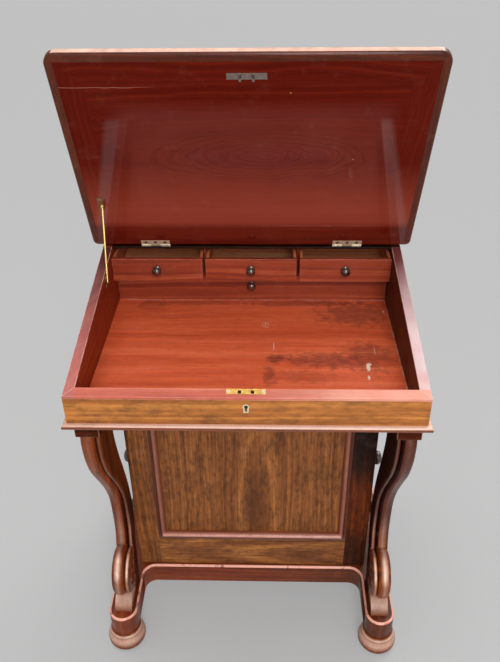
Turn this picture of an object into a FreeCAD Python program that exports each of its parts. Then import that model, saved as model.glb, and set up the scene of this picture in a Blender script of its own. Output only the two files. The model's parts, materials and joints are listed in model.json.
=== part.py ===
import FreeCAD, Part
import Sketcher
import math
import os

# Davenport desk, open, in millimetres: X to the right, Y to the back, Z up.
# The origin lies on the floor under the middle of the case.

SIZES = {
    # case
    "case_width": 540.0,
    "case_depth": 508.0,
    "side_wall": 16.0,
    "front_wall": 18.0,
    "back_wall": 10.0,
    "floor_height": 644.0,
    "floor_board": 9.0,
    "nosing": 7.0,
    "nosing_round": 4.0,
    "front_height": 50.5,
    "slope_run": 354.0,
    "slope_angle": 10.8,
    "lipping": 4.0,
    "top_board": 16.0,
    "overhang": 16.5,
    "edge_round": 5.0,
    # hinge rail and the nest of small drawers
    "rail_front": 1.5,
    "rail_lip": 4.0,
    "rail_bevel": 15.0,
    "rail_board": 8.5,
    "nest_set_back": 12.0,
    "shelf_board": 6.0,
    "shelf_rise": 57.0,
    "divider": 5.0,
    "small_drawer_room": 6.7,
    "small_drawer_out": 31.0,
    "small_knob_height": 24.9,
    "long_knob_height": 34.4,
    "drawer_gap": 0.6,
    "drawer_stop": 2.0,
    "drawer_front": 8.0,
    "drawer_side": 5.0,
    "drawer_bottom": 4.0,
    "bottom_rise": 1.5,
    "side_drop": 1.0,
    "back_drop": 3.0,
    "box_inset": 0.3,
    # lid
    "lid_front_overhang": 24.0,
    "lid_heel": 0.5,
    "lid_thickness": 16.0,
    "lid_opening": 79.7,
    "lid_rest_gap": 0.3,
    "lid_corner": 20.0,
    "lid_moulding": 13.0,
    "lid_frame": 38.0,
    "leather_margin": 14.0,
    "leather_thickness": 1.4,
    # lid hinges
    "hinge_offset": 3.0,
    "hinge_spread": 346.0,
    "hinge_length": 52.0,
    "knuckle_radius": 2.6,
    "knuckle_gap": 0.4,
    "notch_play": 0.7,
    "pin_radius": 1.3,
    "pin_play": 0.05,
    "leaf_thickness": 1.5,
    "leaf_width": 13.5,
    "leaf_screw_reach": 8.4,
    "swing_play": 1.1,
    # stay
    "stay_wall_gap": 2.9,
    "stay_reach": 104.0,
    "stay_standoff": 6.0,
    "stay_foot_forward": 78.0,
    "stay_foot_drop": 16.8,
    "stay_radius": 1.5,
    "stay_eye": 3.4,
    "stay_eye_width": 3.0,
    "stay_pin": 1.2,
    "bracket_length": 26.0,
    "bracket_width": 12.5,
    "bracket_lug": 1.7,
    "bracket_lug_gap": 0.3,
    "bracket_ear": 4.0,
    "bracket_screws": 18.0,
    "rest_length": 24.0,
    "rest_width": 8.0,
    "rest_thickness": 1.5,
    "rest_ledge": 4.2,
    "rest_ledge_thickness": 2.0,
    "rest_screws": 17.0,
    "rest_play": 0.5,
    # lock
    "lock_set_back": 12.5,
    "lock_width": 46.0,
    "lock_height": 38.0,
    "lock_wall": 1.3,
    "lock_play": 0.3,
    "lock_plate_width": 58.0,
    "lock_plate_depth": 10.5,
    "lock_screw_inset": 3.2,
    "link_screw_inset": 5.0,
    "plate_thickness": 1.6,
    "slot_play": 0.7,
    "staple_spread": 19.0,
    "staple_drop": 11.0,
    "staple_width": 3.5,
    "staple_depth": 5.0,
    "staple_forward": 1.0,
    "eye_wall": 1.2,
    "eye_height": 4.5,
    "eye_sill": 1.5,
    "bolt_thickness": 2.0,
    "bolt_stem": 2.5,
    "bolt_reach": 6.3,
    "bolt_draw": 1.0,
    "keyhole_drop": 16.9,
    "key_radius": 2.4,
    "key_slot": 2.6,
    "key_drop": 8.0,
    "liner_way": 0.6,
    "liner_rim": 2.0,
    "liner_depth": 3.0,
    # pedestal
    "pedestal_inset": 33.0,
    "pedestal_front": 193.0,
    "pedestal_back_inset": 8.0,
    "frame_thickness": 20.0,
    "stile": 44.0,
    "bottom_rail": 77.0,
    "top_rail": 60.0,
    "panel_moulding": 12.0,
    "moulding_proud": 3.0,
    "panel_set_back": 8.0,
    "panel_thickness": 8.0,
    "post": 22.0,
    "post_thickness": 18.0,
    "side_rail": 14.0,
    "side_end_rail": 18.0,
    "side_drawer_step": 11.0,
    "side_drawer_room": 34.0,
    "side_knob_spread": 139.0,
    "dust_board": 8.0,
    "guide": 12.0,
    # plinth and feet
    "plinth_height": 48.6,
    "plinth_top": 92.0,
    "plinth_step": 7.5,
    "plinth_back_inset": 3.0,
    "plinth_rail": 50.0,
    "plinth_ledge": 30.0,
    "arm_inset": 13.0,
    "arm_width": 56.0,
    "arm_front": 80.0,
    "arm_corner": 24.0,
    "foot_radius": 37.8,
    "rear_foot_inset": 35.0,
    # scroll supports
    "support_width": 35.0,
    "support_inset": 15.5,
    "support_depth": 152.0,
    "cap_height": 53.0,
    "cap_front": 38.0,
    "cap_depth": 70.0,
    "cap_margin": 2.2,
    "volute_radius": 47.0,
    "volute_set_back": 41.0,
    "volute_height": 76.0,
    "toe_radius": 28.0,
    "toe_set_back": 18.0,
    "toe_inset": 1.0,
    "toe_gap": 0.3,
    # knobs and screws
    "small_knob": 7.7,
    "large_knob": 13.5,
    "knob_spigot": 7.0,
    "screw_radius": 1.5,
    "screw_head": 2.9,
    "screw_length": 7.0,
    "screw_play": 0.05,
}

# How far a cutting tool runs past what it cuts, and how close counts as touching.
OVERSHOOT = 1.0
TINY = 0.001

# A knob's spigot, as a share of the knob's radius.
SPIGOT_SHARE = 0.38

SMALL_DRAWER_COUNT = 3
SIDE_DRAWER_COUNT = 4

doc = FreeCAD.newDocument("davenport_desk")
sheet = doc.addObject("Spreadsheet::Sheet", "Sizes")
for row, (alias, number) in enumerate(SIZES.items(), start=1):
    sheet.set(f"A{row}", alias)
    sheet.set(f"B{row}", str(number))
    sheet.setAlias(f"B{row}", alias)
doc.recompute()


class Size:
    """A number together with the spreadsheet formula that it comes from."""

    def __init__(self, value, formula):
        self.value = float(value)
        self.formula = formula

    def __add__(self, other):
        other = as_size(other)
        return Size(self.value + other.value, f"({self.formula} + {other.formula})")

    def __radd__(self, other):
        return as_size(other) + self

    def __sub__(self, other):
        other = as_size(other)
        return Size(self.value - other.value, f"({self.formula} - {other.formula})")

    def __rsub__(self, other):
        return as_size(other) - self

    def __mul__(self, other):
        other = as_size(other)
        return Size(self.value * other.value, f"({self.formula} * {other.formula})")

    def __rmul__(self, other):
        return as_size(other) * self

    def __truediv__(self, other):
        other = as_size(other)
        return Size(self.value / other.value, f"({self.formula} / {other.formula})")

    def __neg__(self):
        return Size(-self.value, f"(-1 * {self.formula})")

    def __float__(self):
        return self.value


def as_size(number):
    if isinstance(number, Size):
        return number
    return Size(number, repr(float(number)))


def sine(angle):
    angle = as_size(angle)
    return Size(math.sin(math.radians(angle.value)), f"sin({angle.formula} * 1 deg)")


def cosine(angle):
    angle = as_size(angle)
    return Size(math.cos(math.radians(angle.value)), f"cos({angle.formula} * 1 deg)")


def tangent(angle):
    return sine(angle) / cosine(angle)


class Sheet:
    """The spreadsheet's cells by name, as sizes."""

    def __getattr__(self, alias):
        return Size(sheet.get(alias), f"Sizes.{alias}")


S = Sheet()
ZERO = as_size(0.0)
X_AXIS = FreeCAD.Vector(1, 0, 0)
Y_AXIS = FreeCAD.Vector(0, 1, 0)
Z_AXIS = FreeCAD.Vector(0, 0, 1)

nodes = {}


def bind(item, prop, size):
    """Ties a property to the spreadsheet, or sets it where the size is a plain number."""
    size = as_size(size)
    if "Sizes." in size.formula:
        item.setExpression(prop, size.formula)
    else:
        setattr(item, prop, size.value)


def place(item, x=ZERO, y=ZERO, z=ZERO, rotation=None):
    x, y, z = as_size(x), as_size(y), as_size(z)
    turn = rotation or FreeCAD.Rotation()
    item.Placement = FreeCAD.Placement(FreeCAD.Vector(x.value, y.value, z.value), turn)
    for axis, size in (("x", x), ("y", y), ("z", z)):
        if "Sizes." in size.formula:
            item.setExpression(f".Placement.Base.{axis}", size.formula)


def box(name, x, y, z):
    """A board between two values on each axis."""
    item = doc.addObject("Part::Box", name)
    bind(item, "Length", as_size(x[1]) - x[0])
    bind(item, "Width", as_size(y[1]) - y[0])
    bind(item, "Height", as_size(z[1]) - z[0])
    place(item, x[0], y[0], z[0])
    return item


def rod(name, radius, length, at, direction):
    """A round bar that starts at a point and runs along a direction."""
    item = doc.addObject("Part::Cylinder", name)
    bind(item, "Radius", radius)
    bind(item, "Height", length)
    place(item, *at, rotation=FreeCAD.Rotation(Z_AXIS, direction))
    return item


def arc_middle(start, end, radius):
    """The middle of the arc from start to end; a positive radius turns to the left."""
    chord = end - start
    half = chord.Length / 2
    rise = abs(radius) - math.sqrt(max(radius * radius - half * half, 0.0))
    side = FreeCAD.Vector(chord.y, -chord.x, 0).normalize()
    return (start + end) * 0.5 + side * math.copysign(rise, radius)


def draw(sketch, outline):
    """Draws a closed outline. A corner is (x, y); (x, y, radius) is reached by an arc."""
    corners = [FreeCAD.Vector(float(c[0]), float(c[1]), 0) for c in outline]
    straight = all(len(c) == 2 for c in outline)
    count = len(corners)
    for i in range(count):
        start, end = corners[i], corners[(i + 1) % count]
        target = outline[(i + 1) % count]
        if len(target) == 3:
            middle = arc_middle(start, end, float(target[2]))
            sketch.addGeometry(Part.Arc(start, middle, end), False)
        else:
            sketch.addGeometry(Part.LineSegment(start, end), False)
    if straight:
        hold_corners(sketch, outline)


def hold_corners(sketch, outline):
    """Ties each corner of a straight-sided sketch to the spreadsheet."""
    count = len(outline)
    for i in range(count):
        sketch.addConstraint(Sketcher.Constraint("Coincident", i, 2, (i + 1) % count, 1))
    for i, corner in enumerate(outline):
        for kind, size in (("DistanceX", as_size(corner[0])), ("DistanceY", as_size(corner[1]))):
            index = sketch.addConstraint(Sketcher.Constraint(kind, i, 1, size.value))
            if "Sizes." in size.formula:
                sketch.setExpression(f"Constraints[{index}]", size.formula)


def origin_plane(body, role):
    return next(f for f in body.Origin.OriginFeatures if f.Role == role)


def sketched_body(name, role, outline):
    body = doc.addObject("PartDesign::Body", name)
    sketch = body.newObject("Sketcher::SketchObject", name + "_sketch")
    sketch.AttachmentSupport = (origin_plane(body, role), "")
    sketch.MapMode = "FlatFace"
    draw(sketch, outline)
    return body, sketch


def plate(name, plane, outline, span):
    """An outline in the XY, XZ or YZ plane, made solid between two values on the third axis."""
    body, sketch = sketched_body(name, plane + "_Plane", outline)
    pad = body.newObject("PartDesign::Pad", name + "_pad")
    pad.Profile = sketch
    bind(pad, "Length", as_size(span[1]) - span[0])
    if plane == "YZ":
        place(body, x=span[0])
    elif plane == "XZ":
        place(body, y=span[1])
    else:
        place(body, z=span[0])
    return body


def turned(name, outline, at, direction):
    """A turned piece: (radius, height) corners revolved about an axis through a point."""
    body, sketch = sketched_body(name, "XZ_Plane", outline)
    spin = body.newObject("PartDesign::Revolution", name + "_turn")
    spin.Profile = sketch
    spin.ReferenceAxis = (sketch, ["V_Axis"])
    spin.Angle = 360
    place(body, *at, rotation=FreeCAD.Rotation(Z_AXIS, direction))
    return body


def fuse(name, pieces):
    item = doc.addObject("Part::MultiFuse", name)
    item.Shapes = pieces
    return item


def cut(name, base, tools):
    item = doc.addObject("Part::Cut", name)
    item.Base = base
    item.Tool = tools[0] if len(tools) == 1 else fuse(name + "_tools", tools)
    return item


def common(name, base, tool):
    item = doc.addObject("Part::Common", name)
    item.Base = base
    item.Tool = tool
    return item


def mirror(name, source):
    """The same piece on the other side of the desk."""
    item = doc.addObject("Part::Mirroring", name)
    item.Source = source
    item.Base = FreeCAD.Vector(0, 0, 0)
    item.Normal = X_AXIS
    return item


def rounded(name, base, radius, wanted):
    """Rounds the edges of a piece that wanted(edge) picks."""
    doc.recompute()
    item = doc.addObject("Part::Fillet", name)
    item.Base = base
    reach = float(radius)
    picked = [i for i, edge in enumerate(base.Shape.Edges, start=1) if wanted(edge)]
    item.Edges = [(i, reach, reach) for i in picked]
    return item


def posed(name, pieces, placement=FreeCAD.Placement()):
    """Pieces that are drawn in a frame of their own, moved to their place together."""
    item = doc.addObject("Part::Compound", name)
    item.Links = pieces
    item.Placement = placement
    return item


def node(label, pieces, placement=None):
    """Names a sub-part, which may hold several separate solids."""
    alone = len(pieces) == 1 and placement is None
    item = pieces[0] if alone else posed(label, pieces, placement or FreeCAD.Placement())
    item.Label = label
    nodes[label] = item
    return item


def middle_of(edge):
    return edge.valueAt((edge.FirstParameter + edge.LastParameter) / 2)


def again(name, source, at, direction=Z_AXIS):
    """One more of a piece that is drawn once, with its own axis along a direction."""
    item = doc.addObject("App::Link", name)
    item.LinkedObject = source
    item.LinkTransform = False
    spot = FreeCAD.Vector(*[float(size) for size in at])
    item.Placement = FreeCAD.Placement(spot, FreeCAD.Rotation(Z_AXIS, direction))
    return item


# ---------------------------------------------------------------- shared places

half_case = S.case_width / 2
case_front = -S.case_depth / 2
case_back = S.case_depth / 2
inner = half_case - S.side_wall
slope = tangent(S.slope_angle)
front_top = S.floor_height + S.front_height
rear_top = front_top + slope * S.slope_run
slope_end = case_front + S.slope_run
case_bottom = S.floor_height - S.floor_board
half_lid = half_case + S.overhang
nest_front = slope_end + S.nest_set_back
nest_back = case_back - S.back_wall
rail_bottom = rear_top - S.rail_board

hinge_y = slope_end + S.hinge_offset
hinge_z = rear_top + slope * S.hinge_offset + (S.lid_rest_gap + S.knuckle_radius) / cosine(S.slope_angle)
lid_direction = 180 + S.slope_angle - S.lid_opening
lid_pose = FreeCAD.Placement(
    FreeCAD.Vector(0, float(hinge_y), float(hinge_z)),
    FreeCAD.Rotation(X_AXIS, float(lid_direction)),
)
lid_inside = S.knuckle_radius
lid_outside = S.knuckle_radius - S.lid_thickness


def from_front(y):
    """The place y behind the case's front face."""
    return case_front + y


def slope_height(y):
    """Height of the sloping top edge, y behind the case's front face."""
    return front_top + slope * y


def along_lid(y):
    """How far from the hinge's axis the closed lid covers a place on the slope, y behind the front."""
    run = hinge_y - from_front(y)
    rise = hinge_z - slope_height(y)
    return cosine(S.slope_angle) * run + sine(S.slope_angle) * rise


lid_length = along_lid(ZERO) + S.lid_front_overhang


# ---------------------------------------------------------------- screws

def screw_outline(play):
    """Half section of a countersunk screw whose head is flush at height 0."""
    head, shank = S.screw_head + play, S.screw_radius + play
    cone = S.screw_head - S.screw_radius
    tip = S.screw_length + play
    return [(0, 0), (head, 0), (shank, -cone), (shank, -tip), (0, -tip)]


screw = turned("screw", screw_outline(0), (0, 0, 0), Z_AXIS)
drill = turned("drill", screw_outline(S.screw_play), (0, 0, 0), Z_AXIS)


def screws_at(name, spots, direction):
    """Screws and the drills that make their holes, at a list of places."""
    made = [again(f"{name}_screw_{i}", screw, spot, direction) for i, spot in enumerate(spots)]
    drills = [again(f"{name}_drill_{i}", drill, spot, direction) for i, spot in enumerate(spots)]
    return made, drills


# ---------------------------------------------------------------- hinges

case_leaf_pose = FreeCAD.Placement(
    FreeCAD.Vector(0, float(hinge_y), float(hinge_z)), FreeCAD.Rotation())
case_leaf_low = rear_top - hinge_z
case_leaf_high = case_leaf_low + S.leaf_thickness
hinge_centres = {"left": -S.hinge_spread / 2, "right": S.hinge_spread / 2}


def leaf_screws(name, centre, height):
    """Three screws in a row along a leaf."""
    step = S.hinge_length / 3
    return screws_at(name, [(centre + i * step, S.leaf_screw_reach, height) for i in (-1, 0, 1)], Z_AXIS)


def hinge_leaf(name, centre, plate_span, knuckles, drills):
    """A leaf along its own y from the pin's axis, with its share of the three knuckles."""
    low = centre - S.hinge_length / 2
    third = S.hinge_length / 3
    half_gap = S.knuckle_gap / 2
    reach = S.knuckle_radius + S.notch_play
    pieces = [box(name + "_plate", (low, low + S.hinge_length), (0, S.leaf_width), plate_span)]
    tools = []
    for i in range(3):
        start = low + i * third
        if i in knuckles:
            pieces.append(rod(f"{name}_knuckle_{i}", S.knuckle_radius, third - S.knuckle_gap,
                              (start + half_gap, 0, 0), X_AXIS))
        else:
            tools.append(box(f"{name}_gap_{i}", (start - half_gap, start + third + half_gap),
                             (-reach, reach), (-reach - S.leaf_thickness, reach)))
    tools.append(rod(name + "_bore", S.pin_radius + S.pin_play, S.hinge_length + 2 * OVERSHOOT,
                     (low - OVERSHOOT, 0, 0), X_AXIS))
    return cut(name, fuse(name + "_blank", pieces), tools + drills)


def lid_leaf_seat(name, centre):
    """What the lid loses to a hinge: the leaf's seat and a groove round the knuckles."""
    half = S.hinge_length / 2
    groove = rod(name + "_groove", S.knuckle_radius + S.notch_play, S.hinge_length + 2 * S.knuckle_gap,
                 (centre - half - S.knuckle_gap, 0, 0), X_AXIS)
    seat = box(name + "_seat", (centre - half, centre + half), (0, S.leaf_width),
               (lid_inside - S.leaf_thickness, lid_inside + OVERSHOOT))
    return [groove, seat]


def hinges():
    """Both hinges, with the screws, drills and seats that the lid and the rail need."""
    lid_side = {"leaves": [], "screws": [], "drills": [], "seats": []}
    case_side = {"leaves": [], "screws": [], "drills": [], "pins": []}
    for side, centre in hinge_centres.items():
        name = f"{side}_lid_leaf"
        made, drills = leaf_screws(name, centre, lid_inside)
        lid_side["screws"] += made
        lid_side["drills"] += drills
        lid_side["seats"] += lid_leaf_seat(name, centre)
        span = (lid_inside - S.leaf_thickness, lid_inside)
        lid_side["leaves"].append(hinge_leaf(name, centre, span, (1,), drills))

        name = f"{side}_case_leaf"
        made, drills = leaf_screws(name, centre, case_leaf_high)
        case_side["screws"] += made
        case_side["drills"] += drills
        case_side["leaves"].append(hinge_leaf(name, centre, (case_leaf_low, case_leaf_high), (0, 2), drills))
        case_side["pins"].append(rod(f"{side}_hinge_pin", S.pin_radius, S.hinge_length,
                                     (centre - S.hinge_length / 2, 0, 0), X_AXIS))
    node("case_hinge_leaves", case_side["leaves"] + case_side["pins"], case_leaf_pose)
    node("lid_hinge_leaves", lid_side["leaves"], lid_pose)
    return lid_side, case_side


lid_hinge, case_hinge = hinges()


# ---------------------------------------------------------------- lid

lid_thickness_span = (lid_outside, lid_inside)
staple_x = (-S.staple_spread / 2, S.staple_spread / 2)


def rounded_lid():
    """The lid's whole outline, with its rounded corners and edges."""
    side, heel, far = half_lid, S.lid_heel, lid_length
    tight, corner = 2 * S.edge_round, S.lid_corner
    outline = [
        (tight - side, heel, tight), (side - tight, heel), (side, heel + tight, tight),
        (side, far - corner), (side - corner, far, corner), (corner - side, far),
        (-side, far - corner, corner), (-side, heel + tight),
    ]
    blank = plate("lid_outline", "XY", outline, lid_thickness_span)

    def at_rim(edge):
        bounds = edge.BoundBox
        return bounds.ZLength < TINY and bounds.YMax > float(heel) + TINY
    return rounded("lid_rounded", blank, S.edge_round, at_rim)


def mitred_frame(name, plane, x, y, width, span):
    """Four mitred lengths inside a rectangle, centred on X."""
    low, high = y
    inner_x, inner_low, inner_high = x - width, low + width, high - width
    outlines = {
        "left": [(-x, low), (-inner_x, inner_low), (-inner_x, inner_high), (-x, high)],
        "right": [(x, low), (x, high), (inner_x, inner_high), (inner_x, inner_low)],
        "front": [(-x, high), (-inner_x, inner_high), (inner_x, inner_high), (x, high)],
        "rear": [(-x, low), (x, low), (inner_x, inner_low), (-inner_x, inner_low)],
    }
    return {side: plate(f"{name}_{side}", plane, line, span) for side, line in outlines.items()}


def link_plate():
    """The plate near the lid's front edge with the two staples that the lock's bolt catches."""
    centre = along_lid(S.lock_set_back)
    y = (centre - S.lock_plate_depth / 2, centre + S.lock_plate_depth / 2)
    half = S.lock_plate_width / 2
    low = lid_inside - S.plate_thickness
    tip = lid_inside + S.staple_drop
    pieces = [box("link_plate_blank", (-half, half), y, (low, lid_inside))]
    eyes = []
    staple_low = centre + S.staple_forward - S.staple_depth / 2
    staple_y = (staple_low, staple_low + S.staple_depth)
    eye_y = (staple_y[0] + S.eye_wall, staple_y[1] - S.eye_wall)
    eye_z = (tip - S.eye_sill - S.eye_height, tip - S.eye_sill)
    for i, x in enumerate(staple_x):
        half_staple = S.staple_width / 2
        pieces.append(box(f"staple_{i}", (x - half_staple, x + half_staple), staple_y, (low, tip)))
        eyes.append(box(f"staple_eye_{i}", (x - S.staple_width, x + S.staple_width), eye_y, eye_z))
    seat = box("link_plate_seat", (-half, half), y, (low, lid_inside + OVERSHOOT))
    spots = [(x, centre, lid_inside) for x in (S.link_screw_inset - half, half - S.link_screw_inset)]
    made, drills = screws_at("link_plate", spots, Z_AXIS)
    return cut("link_plate", fuse("link_plate_raised", pieces), eyes + drills), seat, made, drills


stay_x = S.stay_wall_gap - inner
stay_side = (stay_x - S.stay_eye_width / 2, stay_x + S.stay_eye_width / 2)
stay_pin_height = lid_inside + S.stay_standoff
stay_foot_y = hinge_y - S.stay_foot_forward
stay_foot_z = slope_height(stay_foot_y - case_front) - S.stay_foot_drop


def stay_bracket():
    """A plate let into the lid with a lug and a pin that carries the stay rod."""
    lug_x = (stay_side[1] + S.bracket_lug_gap, stay_side[1] + S.bracket_lug_gap + S.bracket_lug)
    x = (lug_x[1] - S.bracket_width, lug_x[1])
    y = (S.stay_reach - S.bracket_length / 2, S.stay_reach + S.bracket_length / 2)
    low = lid_inside - S.leaf_thickness
    pieces = [
        box("bracket_plate", x, y, (low, lid_inside)),
        box("bracket_lug", lug_x, (S.stay_reach - S.bracket_ear, S.stay_reach + S.bracket_ear),
            (low, stay_pin_height)),
        rod("bracket_ear", S.bracket_ear, S.bracket_lug, (lug_x[0], S.stay_reach, stay_pin_height), X_AXIS),
        rod("bracket_pin", S.stay_pin, lug_x[1] - stay_side[0], (stay_side[0], S.stay_reach, stay_pin_height),
            X_AXIS),
    ]
    seat = box("bracket_seat", x, y, (low, lid_inside + OVERSHOOT))
    screw_x = (x[0] + lug_x[0]) / 2
    half_step = S.bracket_screws / 2
    spots = [(screw_x, S.stay_reach + step, lid_inside) for step in (-half_step, half_step)]
    made, drills = screws_at("bracket", spots, Z_AXIS)
    return cut("stay_bracket_drilled", fuse("bracket_raised", pieces), drills), seat, made, drills


def lid():
    """Edge moulding, mitred frame, panel and writing leather, with the brasses let into them."""
    link, link_seat, link_screws, link_drills = link_plate()
    bracket, bracket_seat, bracket_screws, bracket_drills = stay_bracket()
    outline = rounded_lid()
    frame_x, frame_y = half_lid - S.lid_moulding, (S.lid_heel + S.lid_moulding, lid_length - S.lid_moulding)
    panel_x, panel_y = frame_x - S.lid_frame, (frame_y[0] + S.lid_frame, frame_y[1] - S.lid_frame)
    skin_x = panel_x - S.leather_margin
    skin_y = (panel_y[0] + S.leather_margin, panel_y[1] - S.leather_margin)
    skin_top = lid_outside + S.leather_thickness

    moulding = mitred_frame("lid_moulding", "XY", half_lid, (S.lid_heel, lid_length), S.lid_moulding,
                            lid_thickness_span)
    strips = {side: common(f"moulding_strip_{side}", piece, outline) for side, piece in moulding.items()}
    strips["rear"] = cut("moulding_rear_cut", strips["rear"], lid_hinge["seats"] + lid_hinge["drills"])
    members = mitred_frame("lid_member", "XY", frame_x, frame_y, S.lid_frame, lid_thickness_span)
    members["front"] = cut("member_front_cut", members["front"], [link_seat] + link_drills)
    members["left"] = cut("member_left_cut", members["left"], [bracket_seat] + bracket_drills)
    panel = box("panel_blank", (-panel_x, panel_x), panel_y, lid_thickness_span)
    recess = box("leather_recess", (-skin_x, skin_x), skin_y, (lid_outside - OVERSHOOT, skin_top))
    skin = box("leather_skin", (-skin_x, skin_x), skin_y, (lid_outside, skin_top))

    node("lid_edge_moulding", list(strips.values()), lid_pose)
    node("lid_frame", list(members.values()), lid_pose)
    node("lid_panel", [cut("panel_recessed", panel, [recess])], lid_pose)
    node("lid_writing_leather", [skin], lid_pose)
    node("lid_link_plate", [link], lid_pose)
    node("lid_stay_bracket", [bracket], lid_pose)
    node("lid_screws", lid_hinge["screws"] + link_screws + bracket_screws, lid_pose)


lid()


# ---------------------------------------------------------------- stay

def stay():
    """The rod hangs from the bracket's pin and its foot stands on a ledge on the left wall."""
    pin = lid_pose.multVec(FreeCAD.Vector(float(stay_x), float(S.stay_reach), float(stay_pin_height)))
    foot = FreeCAD.Vector(pin.x, float(stay_foot_y), float(stay_foot_z))
    run = foot - pin
    eye = rod("stay_eye", S.stay_eye, S.stay_eye_width, (stay_side[0], pin.y, pin.z), X_AXIS)
    hole = rod("stay_hole", S.stay_pin + S.pin_play, S.stay_eye_width + 2 * OVERSHOOT,
               (stay_side[0] - OVERSHOOT, pin.y, pin.z), X_AXIS)
    bar = rod("stay_bar", S.stay_radius, run.Length, (pin.x, pin.y, pin.z), run)
    tip = doc.addObject("Part::Sphere", "stay_tip")
    bind(tip, "Radius", S.stay_radius)
    place(tip, foot.x, foot.y, foot.z)
    node("stay_rod", [cut("stay_drilled", fuse("stay_blank", [eye, bar, tip]), [hole])])


def wall_plate():
    """The stay's rest: a small plate let into the left wall with a ledge."""
    y, z = stay_foot_y, stay_foot_z
    wide, tall = S.rest_width / 2, S.rest_length / 2
    deep = -inner - S.rest_thickness
    ledge_top = z - S.stay_radius - S.rest_play
    pieces = [
        box("rest_plate", (deep, -inner), (y - wide, y + wide), (z - tall, z + tall)),
        box("rest_ledge", (deep, -inner + S.rest_ledge), (y - S.stay_radius, y + wide),
            (ledge_top - S.rest_ledge_thickness, ledge_top)),
    ]
    seat = box("rest_seat", (deep, -inner + OVERSHOOT), (y - wide, y + wide), (z - tall, z + tall))
    spots = [(-inner, y, z + step) for step in (-S.rest_screws / 2, S.rest_screws / 2)]
    made, drills = screws_at("rest", spots, X_AXIS)
    node("stay_wall_plate", [cut("rest_drilled", fuse("rest_raised", pieces), drills)])
    return seat, made, drills


stay()
rest_seat, rest_screws, rest_drills = wall_plate()


# ---------------------------------------------------------------- lock

lock_y = from_front(S.lock_set_back)
lock_rear = from_front(S.front_wall)
lock_front = lock_y - S.lock_plate_depth / 2 - S.lock_play
lock_top = slope_height(S.lock_set_back - S.lock_plate_depth / 2) - S.plate_thickness - S.lock_play
lock_low = lock_top - S.lock_height
lock_half = S.lock_width / 2
plate_half = S.lock_plate_width / 2
plate_depth = S.lock_plate_depth / 2
plate_pose = FreeCAD.Placement(
    FreeCAD.Vector(0, float(lock_y), float(slope_height(S.lock_set_back))),
    FreeCAD.Rotation(X_AXIS, float(S.slope_angle)),
)


def keyhole(name, widen, y):
    """A round hole with a slot under it, along Y, wider all round than the key by a given amount."""
    radius, half_slot, drop = S.key_radius + widen, S.key_slot / 2 + widen, S.key_drop + widen
    centre = front_top - S.keyhole_drop
    top = rod(name + "_round", radius, y[1] - y[0], (0, y[0], centre), Y_AXIS)
    low = box(name + "_slot", (-half_slot, half_slot), y, (centre - drop, centre))
    return [top, low]


def lock():
    """A till lock's open-topped case, its slotted plate and the keyhole's liner."""
    wall = S.lock_wall
    shell = box("lock_shell", (-lock_half, lock_half), (lock_front, lock_rear), (lock_low, lock_top))
    hollow = box("lock_hollow", (wall - lock_half, lock_half - wall), (lock_front + wall, lock_rear - wall),
                 (lock_low + wall, lock_top + OVERSHOOT))
    key = keyhole("lock_key", ZERO, (lock_front - OVERSHOOT, lock_front + wall + OVERSHOOT))
    node("lock_case", [cut("lock_case_cut", shell, [hollow] + key)])

    blank = box("lock_plate_blank", (-plate_half, plate_half), (-plate_depth, plate_depth),
                (-S.plate_thickness, 0))
    half_x = S.staple_width / 2 + S.slot_play
    half_y = S.staple_depth / 2 + S.slot_play
    slot_y = (-S.staple_forward - half_y, half_y - S.staple_forward)
    slot_z = (-S.plate_thickness - OVERSHOOT, OVERSHOOT)
    slots = [box(f"lock_slot_{i}", (x - half_x, x + half_x), slot_y, slot_z) for i, x in enumerate(staple_x)]
    spots = [(x, 0, 0) for x in (S.lock_screw_inset - plate_half, plate_half - S.lock_screw_inset)]
    made, drills = screws_at("lock_plate", spots, Z_AXIS)
    node("lock_plate", [cut("lock_plate_cut", blank, slots + drills)], plate_pose)

    liner_back = case_front + S.liner_depth
    rim = fuse("liner_outer", keyhole("liner", S.liner_way + S.liner_rim, (case_front, liner_back)))
    way = keyhole("liner_hole", S.liner_way, (case_front - OVERSHOOT, liner_back + OVERSHOOT))
    node("keyhole_liner", [cut("liner_cut", rim, way)])
    return posed("lock_screws", made, plate_pose), posed("lock_drills", drills, plate_pose)


def lock_bolt():
    """The bolt's plate with two prongs that slide to the right through the staples' eyes."""
    drop = S.staple_drop - S.eye_sill - S.eye_height / 2 - S.lid_rest_gap
    lean, fall = sine(S.slope_angle), cosine(S.slope_angle)
    eye_y = lock_y - fall * S.staple_forward + lean * drop
    eye_z = slope_height(S.lock_set_back) - lean * S.staple_forward - fall * drop
    half = S.bolt_thickness / 2
    y = (eye_y - half, eye_y + half)
    shoulder = eye_z - S.eye_height
    tips = [x - S.staple_width / 2 - S.bolt_draw for x in staple_x]
    stems = [tip - S.bolt_reach for tip in tips]
    pieces = [box("bolt_plate", (stems[0] - S.bolt_stem, tips[1]), y,
                  (lock_low + S.lock_wall + S.lock_play, shoulder))]
    for i, (tip, stem) in enumerate(zip(tips, stems)):
        pieces.append(box(f"bolt_stem_{i}", (stem - S.bolt_stem, stem), y, (shoulder, eye_z + half)))
        pieces.append(box(f"bolt_prong_{i}", (stem, tip), y, (eye_z - half, eye_z + half)))
    node("lock_bolt", [fuse("bolt_blank", pieces)])


lock_screws, lock_drills = lock()
lock_bolt()


# ---------------------------------------------------------------- case

lock_mortise = box("lock_mortise", (-lock_half, lock_half), (lock_front, lock_rear + OVERSHOOT),
                   (lock_low, rear_top))


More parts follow.
